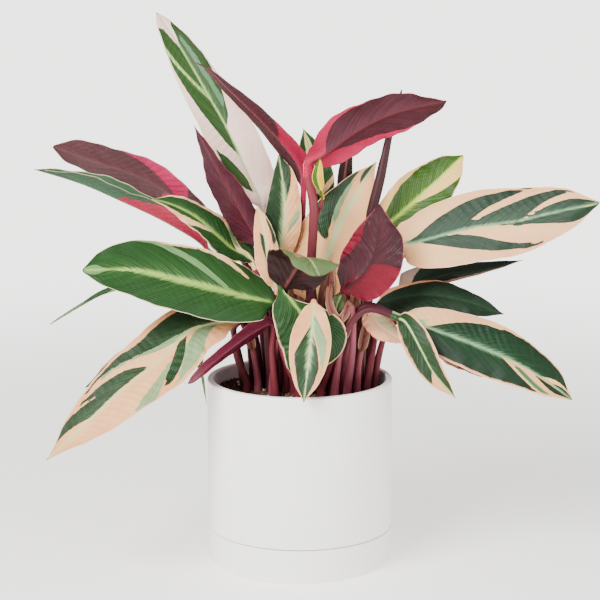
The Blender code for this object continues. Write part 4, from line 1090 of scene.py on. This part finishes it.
def soil_points(phases):
    """The middle of the soil's surface, its rings, and then the rings down its side to its underside."""
    pot = bpy.context.scene.stromanthe_pot
    radius = round((pot.outer_radius - pot.wall) / MM, 3) - GAP
    turns = [(math.cos(math.tau * step / SOIL_STEPS), math.sin(math.tau * step / SOIL_STEPS))
             for step in range(SOIL_STEPS)]
    points = [(0.0, 0.0, SOIL_HEIGHT)]
    for ring in range(1, SOIL_RINGS + 1):
        reach = radius * ring / SOIL_RINGS
        points += [(reach * x, reach * y, SOIL_HEIGHT + SOIL_SWELL * uneven(reach * x, reach * y, phases))
                   for x, y in turns]
    foot = WELL_RADIUS - GAP
    underside = SAUCER_FLOOR + GAP + POT_FLOOR + GAP
    for reach, height in ((radius, SLOPE_TOP + GAP), (foot, WELL_TOP + GAP), (foot, underside)):
        points += [(reach * x, reach * y, height) for x, y in turns]
    return np.array(points) * MM, radius * MM


def scatter_tree(name):
    """Grains of varied size scattered over a surface: inputs for their number, size, seed and material."""
    tree = bpy.data.node_groups.new(name, "GeometryNodeTree")
    for label, kind in (("Geometry", "Geometry"), ("Per Square Metre", "Float"), ("Radius", "Float"),
                        ("Seed", "Int"), ("Material", "Material")):
        tree.interface.new_socket(label, in_out="INPUT", socket_type="NodeSocket" + kind)
    tree.interface.new_socket("Geometry", in_out="OUTPUT", socket_type="NodeSocketGeometry")
    given = add_node(tree, "NodeGroupInput").outputs
    points = add_node(tree, "GeometryNodeDistributePointsOnFaces", {
        "Mesh": given["Geometry"], "Density": given["Per Square Metre"], "Seed": given["Seed"]})
    grain = add_node(tree, "GeometryNodeMeshIcoSphere", {"Radius": 1.0, "Subdivisions": 1})
    spread = add_node(tree, "FunctionNodeRandomValue", {
        0: (0.35, 0.35, 0.3), 1: (1.0, 1.0, 0.8), "Seed": given["Seed"]}, data_type="FLOAT_VECTOR")
    turn = add_node(tree, "FunctionNodeRandomValue", {
        1: (math.tau, math.tau, math.tau), "Seed": given["Seed"]}, data_type="FLOAT_VECTOR")
    size = add_node(tree, "ShaderNodeVectorMath", {0: spread, "Scale": given["Radius"]}, operation="SCALE")
    placed = add_node(tree, "GeometryNodeInstanceOnPoints", {
        "Points": points, "Instance": grain, "Rotation": turn, "Scale": size})
    real = add_node(tree, "GeometryNodeRealizeInstances", {"Geometry": placed})
    noise = add_node(tree, "ShaderNodeTexNoise", {"Scale": GRAIN_SCALE, "Detail": 1.0})
    centred = add_node(tree, "ShaderNodeVectorMath", {0: noise.outputs["Color"], 1: (0.5, 0.5, 0.5)},
                       operation="SUBTRACT")
    rough = add_node(tree, "ShaderNodeVectorMath", {0: centred, "Scale": given["Radius"]},
                     operation="SCALE")
    moved = add_node(tree, "GeometryNodeSetPosition", {"Geometry": real, "Offset": rough})
    done = add_node(tree, "GeometryNodeSetMaterial", {"Geometry": moved, "Material": given["Material"]})
    add_node(tree, "NodeGroupOutput", {"Geometry": done})
    return tree


def scattered_object(name, surface, tree, values):
    """The grains that the tree scatters over the surface, as a plain mesh."""
    made = bpy.data.objects.new(name, surface.data.copy())
    bpy.context.scene.collection.objects.link(made)
    modifier = made.modifiers.new(name, "NODES")
    modifier.node_group = tree
    for item in tree.interface.items_tree:
        if item.in_out == "INPUT" and item.name in values:
            modifier[item.identifier] = values[item.name]
    graph = bpy.context.evaluated_depsgraph_get()
    plain = bpy.data.meshes.new_from_object(made.evaluated_get(graph))
    made.modifiers.remove(modifier)
    made.data = plain
    return made


# Stage: lengths in metres

CAMERA_PLACE = (0.0002, -1.380, 0.4705)
CAMERA_PITCH = 0.1845  # radians that it looks down
CAMERA_LENS, CAMERA_SENSOR = 104.72, 36.0  # in millimetres
LIGHT_AIM = (0.0, 0.0, 0.22)
LIGHTS = (("key light", "key_power", 0.9, (-0.9, -1.1, 1.3)),  # name, setting of its power, width, place
          ("fill light", "fill_power", 0.8, (1.2, -0.7, 0.7)))
FLOOR_STEPS, FLOOR_REACH, FLOOR_DROP = 96, 40, 0.0002  # the floor's edge, its size in radii, and its depth
FADE_START = 0.3  # share of the floor's radius at which it starts to fade into the backdrop


def paper_floor(settings):
    """Matt white paper that is lit from below and fades into the bright backdrop."""
    material, tree = new_material("matt paper floor")
    place = add_node(tree, "ShaderNodeTexCoord").outputs["Object"]
    distance = add_node(tree, "ShaderNodeVectorMath", {0: place}, operation="LENGTH").outputs["Value"]
    fade = add_node(tree, "ShaderNodeMapRange", {
        "Value": distance, "From Min": settings.floor_radius * FADE_START, "From Max": settings.floor_radius},
        interpolation_type="SMOOTHSTEP")
    paper = add_node(tree, "ShaderNodeBsdfPrincipled", {
        "Base Color": settings.floor_colour, "Roughness": 0.6, "Emission Color": settings.floor_colour,
        "Emission Strength": settings.floor_glow})
    glow = add_node(tree, "ShaderNodeEmission", {
        "Color": settings.backdrop_colour, "Strength": settings.backdrop_glow})
    both = add_node(tree, "ShaderNodeMixShader", {0: fade, 1: paper, 2: glow})
    add_node(tree, "ShaderNodeOutputMaterial", {"Surface": both})
    return material


# Operators

class MakeStage(bpy.types.Operator):
    """Makes the pale floor, the soft light and the camera"""

    bl_idname = "stromanthe.make_stage"
    bl_label = "Stage"

    def execute(self, context):
        settings = context.scene.stromanthe_stage
        for old in [one for one in bpy.data.objects if one.type in ("CAMERA", "LIGHT") or one.name == "Cube"]:
            bpy.data.objects.remove(old)
        radius = settings.floor_radius * FLOOR_REACH
        turns = [math.tau * step / FLOOR_STEPS for step in range(FLOOR_STEPS)]
        corners = [(radius * math.cos(turn), radius * math.sin(turn), -FLOOR_DROP) for turn in turns]
        floor = new_mesh_object("floor", corners, [tuple(range(FLOOR_STEPS))], [paper_floor(settings)])

        world = bpy.data.worlds.new("pale studio air")
        world.use_nodes = True
        world.node_tree.nodes["Background"].inputs["Color"].default_value = settings.backdrop_colour
        world.node_tree.nodes["Background"].inputs["Strength"].default_value = settings.air_strength
        context.scene.world = world
        for name, power, size, place in LIGHTS:
            light = bpy.data.lights.new(name, "AREA")
            light.energy = getattr(settings, power)
            light.size = size
            lamp = bpy.data.objects.new(name, light)
            lamp.location = place
            aim = np.array(LIGHT_AIM) - np.array(place)
            lamp.rotation_euler = (math.atan2(math.hypot(aim[0], aim[1]), -aim[2]), 0,
                                   math.atan2(aim[1], aim[0]) - math.pi / 2)
            context.scene.collection.objects.link(lamp)

        view = bpy.data.cameras.new("camera")
        view.sensor_width = CAMERA_SENSOR
        view.lens = CAMERA_LENS
        camera = bpy.data.objects.new("camera", view)
        camera.location = CAMERA_PLACE
        camera.rotation_euler = (math.pi / 2 - CAMERA_PITCH, 0, 0)
        context.scene.collection.objects.link(camera)
        context.scene.camera = camera
        return {"FINISHED"}


class MakePot(bpy.types.Operator):
    """Makes the pot and the saucer of satin white ceramic"""

    bl_idname = "stromanthe.make_pot"
    bl_label = "Pot and saucer"

    def execute(self, context):
        settings = context.scene.stromanthe_pot
        outer, wall = settings.outer_radius / MM, settings.wall / MM
        rim, seam = settings.rim_height / MM, settings.seam_height / MM
        inner = outer - wall
        ceramic = satin_ceramic("satin glazed stoneware")

        # Corners of each profile, as (radius, height), and how far from each its curve starts
        dish = [(AXIS, 0.0), (outer, 0.0), (outer, seam - GAP), (inner, seam - GAP), (inner, SAUCER_FLOOR),
                (AXIS, SAUCER_FLOOR)]
        saucer = turned_object("saucer_dish", rounded(dish, (0, 1.6, 1.3, 0.8, 2.0, 0)), ceramic)
        saucer.data.flip_normals()  # its profile runs the other way round than the pot's
        hand_over(saucer, "saucer")
        underside = SAUCER_FLOOR + GAP
        bottom = underside + POT_FLOOR
        cup = [(inner, rim), (outer, rim), (outer, seam + GAP), (FOOT_RADIUS, seam + GAP),
               (FOOT_RADIUS, underside), (AXIS, underside), (AXIS, bottom), (WELL_RADIUS, bottom),
               (WELL_RADIUS, WELL_TOP), (inner, SLOPE_TOP)]
        cup = rounded(cup, (1.8, 2.2, 1.8, 0.6, 1.5, 0, 0, 2.0, 1.0, 1.0))
        pot = turned_object("pot_cylinder", cup, ceramic)
        hand_over(pot, "pot")
        return {"FINISHED"}


class MakeSoil(bpy.types.Operator):
    """Makes the potting mix with its crumbs and perlite"""

    bl_idname = "stromanthe.make_soil"
    bl_label = "Potting mix"

    def execute(self, context):
        settings = context.scene.stromanthe_soil
        damp = potting_mix("damp peat and bark", "#1c130e", "#543f32")
        phases = np.random.default_rng(settings.seed).uniform(0, math.tau, (6, 2))
        points, radius = soil_points(phases)
        steps = range(SOIL_STEPS)
        faces = [(0, 1 + step, 1 + (step + 1) % SOIL_STEPS) for step in steps]
        for here in range(1, 1 + (SOIL_RINGS + 2) * SOIL_STEPS, SOIL_STEPS):
            for step in steps:
                after = (step + 1) % SOIL_STEPS
                faces.append((here + step, here + SOIL_STEPS + step, here + SOIL_STEPS + after, here + after))
        faces.append(tuple(len(points) - 1 - step for step in steps))
        bed = new_mesh_object("potting_mix_bed", points, faces, [damp])
        smooth_with_edges(bed.data, degrees=50)
        hand_over(bed, "soil")

        surface = SOIL_RINGS * SOIL_STEPS
        top = new_mesh_object("soil_top", points[:1 + surface], faces[:surface], [])
        area = math.pi * radius**2
        tree = scatter_tree("Scattered grains")
        for name, count, size, seed, grain in (
                ("bark_crumbs", settings.crumb_count, settings.crumb_size, settings.seed,
                 potting_mix("dry bark crumbs", "#2a1d15", "#8a6a52")),
                ("perlite_grains", settings.perlite_count, settings.perlite_size, settings.seed + 1,
                 potting_mix("expanded perlite", "#cdbfae", "#f8f1e6", 0.9))):
            piece = scattered_object(name, top, tree, {
                "Per Square Metre": count / area, "Radius": size, "Seed": seed, "Material": grain})
            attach(piece, "root")
        bpy.data.objects.remove(top)
        return {"FINISHED"}


class MakeLeaves(bpy.types.Operator):
    """Makes every leaf with its stalk"""

    bl_idname = "stromanthe.make_leaves"
    bl_label = "Leaves"

    def execute(self, context):
        stalk = stalk_tissue("stalk tissue", "#3c121a", "#7a2e36")
        dark_stalk = stalk_tissue("dark stalk tissue", "#1c080b", "#34151b")
        arched_stalk = stalk_tissue("arched stalk tissue", "#6e2a34", "#421c24")
        stalks = {**dict.fromkeys(DARK_STALKS, dark_stalk), **dict.fromkeys(ARCHED_STALKS, arched_stalk)}
        skins = {}
        for leaf in LEAVES:
            marks = MARKS[leaf.name]
            # Each side as (name, kind of skin, roughness, the tone of its veins, how strongly they show)
            sides = [("upper leaf skin, ", marks.above, 0.42, "rib", 0.09),
                     ("lower leaf skin, ", marks.beneath, 0.5, "dark", 0.3)]
            for side, kind, roughness, vein_tone, vein_share in sides:
                name = side + kind
                if name not in skins:
                    skins[name] = leaf_tissue(name, TONES[kind], roughness, vein_tone, vein_share)
            tissues = [skins[side + kind] for side, kind, *_ in sides]
            made = build_leaf(leaf, [*tissues, stalks.get(leaf.name, stalk)])
            hand_over(made, leaf.name)
        return {"FINISHED"}


class MakeSheaths(bpy.types.Operator):
    """Makes the dry sheaths among the stalks"""

    bl_idname = "stromanthe.make_sheaths"
    bl_label = "Sheaths"

    def execute(self, context):
        papery = leaf_tissue("papery dry sheath", TONES["papery"], 0.6, "dark", 0.4)
        stalk = stalk_tissue("sheathing stalk tissue", "#5a2232", "#984e58")
        for sheath in SHEATHS:
            made = build_leaf(sheath, [papery, papery, stalk])
            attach(made, "root")
        return {"FINISHED"}


OPERATORS = (MakeStage, MakePot, MakeSoil, MakeLeaves, MakeSheaths)
SETTINGS = {"stromanthe_stage": StageSettings, "stromanthe_pot": PotSettings,
            "stromanthe_soil": SoilSettings, "stromanthe_leaves": LeafSettings}


class StromanthePanel(bpy.types.Panel):
    """Lists the operators of the potted stromanthe"""

    bl_idname = "VIEW3D_PT_stromanthe"
    bl_label = "Potted Stromanthe"
    bl_space_type = "VIEW_3D"
    bl_region_type = "UI"
    bl_category = "Stromanthe"

    def draw(self, context):
        for operator in OPERATORS:
            self.layout.operator(operator.bl_idname)


def register():
    for one in (*SETTINGS.values(), *OPERATORS, StromanthePanel):
        bpy.utils.register_class(one)
    for name, group in SETTINGS.items():
        setattr(bpy.types.Scene, name, bpy.props.PointerProperty(type=group))


def unregister():
    for name in SETTINGS:
        delattr(bpy.types.Scene, name)
    for one in (StromanthePanel, *reversed(OPERATORS), *reversed(SETTINGS.values())):
        bpy.utils.unregister_class(one)


def main():
    register()
    bpy.ops.stromanthe.make_stage()
    bpy.ops.stromanthe.make_pot()
    bpy.ops.stromanthe.make_soil()
    bpy.ops.stromanthe.make_leaves()
    bpy.ops.stromanthe.make_sheaths()


if __name__ == "__main__":
    main()
